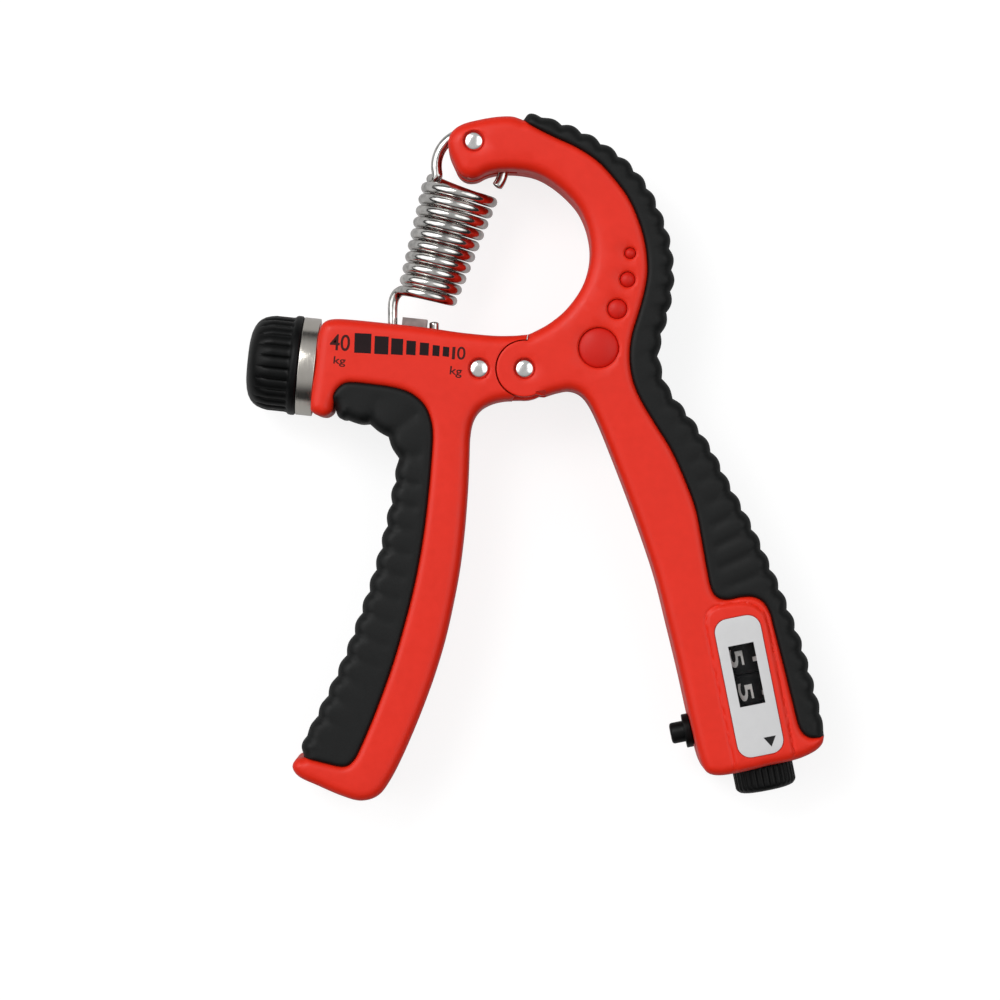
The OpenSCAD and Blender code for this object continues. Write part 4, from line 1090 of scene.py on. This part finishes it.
marks = []
for x0, x1, y0, y1 in SQUARES:
    marks.append([from_photo(x0, y1 - 0.4), from_photo(x1, y1 + 0.4), from_photo(x1 + 0.6, y0 + 0.8),
                  from_photo(x0 + 0.6, y0)])
dress(flat_piece("scale_squares", SCALE_PRINT, marks, HALF), "left_arm", "black_plastic")


def words(name, text, at, degrees, material, z, width, wrap=None, weight=0.0):
    """Plain lettering of the given width and height as a thin mesh; wrap bends it round a wheel."""
    curve = bpy.data.curves.new(name, "FONT")
    curve.body = text
    curve.size = 4
    curve.align_x = "CENTER"
    curve.align_y = "CENTER"
    curve.resolution_u = 6
    curve.offset = weight
    curve.extrude = PRINT_T / 2
    holder = linked(name, curve)
    mesh = bpy.data.meshes.new_from_object(holder.evaluated_get(bpy.context.evaluated_depsgraph_get()))
    bpy.data.objects.remove(holder)
    co = np.array([v.co[:] for v in mesh.vertices])
    span = co[:, :2].max(0) - co[:, :2].min(0)
    middle = (co[:, :2].max(0) + co[:, :2].min(0)) / 2
    flat = (co[:, :2] - middle) * np.array([width[0] / span[0], width[1] / span[1]])
    u, v = direction(degrees), direction(degrees + 90)
    q = flat[:, :1] * u + flat[:, 1:2] * v
    if wrap is None:
        out = np.column_stack([q + np.array(at), co[:, 2] + z])
    else:
        out = wrap(q, co[:, 2])
    for vert, p in zip(mesh.vertices, place(out)):
        vert.co = p
    mesh.materials.clear()
    mesh.materials.append(material)
    return linked(name, mesh)


TOP = HALF + 0.012
for name, text, box in (
        ("scale_heavy", "40", (330.5, 334.8, 350.5, 351.2)), ("scale_heavy_unit", "kg", (334, 357, 346, 367)),
        ("scale_light_one", "1", (452.3, 347.4, 455.3, 359.8)),
        ("scale_light_nought", "0", (457.2, 347.2, 465.6, 360.2)),
        ("scale_light_unit", "kg", (450, 367, 462, 378))):
    x0, y0 = from_photo(box[0], box[3])
    x1, y1 = from_photo(box[2], box[1])
    piece = words(name, text, ((x0 + x1) / 2, (y0 + y1) / 2), -6 if "unit" in name else -4, NUMBER_PRINT,
                  TOP, (x1 - x0, y1 - y0), weight=0.0 if text == "1" else 0.04)
    dress(piece, "left_arm", "black_plastic")

# ---- Number wheels' digits ----

WHEEL_R = 8.4


def digits(name, body, at, now, shift):
    """White digits round a number wheel, the one that shows being now."""
    joined = bmesh.new()
    for k in range(10):
        angle = math.radians(36 * (k - now)) * -1 + shift / WHEEL_R

        def wrap(q, z, angle=angle):
            a = angle + q[:, 1] / WHEEL_R
            r = WHEEL_R + 0.01 + z + 0.015
            local = np.column_stack([at + q[:, 0], r * np.sin(a), r * np.cos(a)])
            return COUNTER.out(local)

        piece = words("digit", str(k), (0, 0), 0, DIGIT, 0, (4.1, 3.2) if k != 1 else (1.9, 3.2), wrap,
                      weight=0.05)
        joined.from_mesh(piece.data)
        bpy.data.objects.remove(piece)
    obj = finish_mesh(joined, name, DIGIT, 40)
    dress(obj, body, "label_white")


digits("tens_digits", "tens", 9.25, 5, -1.45)
digits("units_digits", "units", 17.06, 5, -0.77)

# ---- Floor, light and camera ----


def math_node(nt, operation, *values):
    """The output of a Math node; each value is a number or another node's output."""
    node = nt.nodes.new("ShaderNodeMath")
    node.operation = operation
    for socket, value in zip(node.inputs, values):
        if isinstance(value, float):
            socket.default_value = value
        else:
            nt.links.new(value, socket)
    return node.outputs[0]


def floor():
    """A pale floor that keeps the shadow, white to the camera and dimmer in reflections."""
    mesh = bpy.data.meshes.new("floor")
    z = cad_box[0][2] - 0.0002
    corners = [(x * 3.0, y * 3.0, z) for x, y in ((-1, -1), (1, -1), (1, 1), (-1, 1))]
    mesh.from_pydata(corners, [], [(0, 1, 2, 3)])
    obj = linked("floor", mesh)
    m = bpy.data.materials.new("floor")
    m.use_nodes = True
    nt = m.node_tree
    nt.nodes.clear()
    out = nt.nodes.new("ShaderNodeOutputMaterial")
    diffuse = nt.nodes.new("ShaderNodeBsdfDiffuse")
    diffuse.inputs["Color"].default_value = (0.26, 0.26, 0.26, 1)
    glow = nt.nodes.new("ShaderNodeEmission")
    glow.inputs["Color"].default_value = (1, 1, 1, 1)
    rays = nt.nodes.new("ShaderNodeLightPath")
    seen = rays.outputs["Is Camera Ray"]
    for kind, share in (("Is Transmission Ray", 1.0), ("Is Glossy Ray", 0.3)):
        seen = math_node(nt, "MAXIMUM", seen, math_node(nt, "MULTIPLY", rays.outputs[kind], share))
    nt.links.new(math_node(nt, "MULTIPLY", seen, 0.82), glow.inputs["Strength"])
    both = nt.nodes.new("ShaderNodeAddShader")
    nt.links.new(diffuse.outputs[0], both.inputs[0])
    nt.links.new(glow.outputs[0], both.inputs[1])
    nt.links.new(both.outputs[0], out.inputs["Surface"])
    mesh.materials.append(m)


floor()


def lamp(name, at, size, watts, target=(0, 0, 0.01)):
    data = bpy.data.lights.new(name, "AREA")
    data.energy = watts
    data.size = size
    obj = linked(name, data)
    obj.location = at
    obj.rotation_euler = (Vector(target) - Vector(at)).to_track_quat("-Z", "Y").to_euler()


lamp("key", (-0.42, 0.50, 1.0), 0.45, 3.4)


def sky():
    """A grey ceiling between two soft boxes, dark towards the horizon, and white to the camera."""
    world = bpy.data.worlds.new("studio")
    bpy.context.scene.world = world
    world.use_nodes = True
    nt = world.node_tree
    back = nt.nodes["Background"]
    where = nt.nodes.new("ShaderNodeTexCoord")
    total = None
    for way, low, high, strength in (((-0.12, 0.16, 0.98), 0.25, 0.8, 0.47),
                                     ((-0.72, 0.26, 0.64), 0.78, 0.97, 1.7),
                                     ((0.58, 0.10, 0.81), 0.86, 0.975, 1.45)):
        lean = nt.nodes.new("ShaderNodeVectorMath")
        lean.operation = "DOT_PRODUCT"
        lean.inputs[1].default_value = way
        nt.links.new(where.outputs["Generated"], lean.inputs[0])
        rise = nt.nodes.new("ShaderNodeMapRange")
        rise.interpolation_type = "SMOOTHSTEP"
        for k, v in (("From Min", low), ("From Max", high), ("To Min", 0.01), ("To Max", strength)):
            rise.inputs[k].default_value = v
        nt.links.new(lean.outputs["Value"], rise.inputs["Value"])
        part = rise.outputs["Result"]
        total = part if total is None else math_node(nt, "ADD", total, part)
    rays = nt.nodes.new("ShaderNodeLightPath")
    white = math_node(nt, "MAXIMUM", total, rays.outputs["Is Camera Ray"])
    nt.links.new(white, back.inputs["Strength"])
    back.inputs["Color"].default_value = (1, 1, 1, 1)


sky()

camera_data = bpy.data.cameras.new("camera")
camera_data.sensor_width = 36
VIEW_W, REACH = 0.225, 0.95
camera_data.lens = 36 * REACH / VIEW_W
camera_data.clip_end = 10
camera = linked("camera", camera_data)
camera.location = (-0.00811, -0.00968, 0.021 + REACH)
bpy.context.scene.camera = camera
bpy.context.scene.view_settings.view_transform = "Standard"
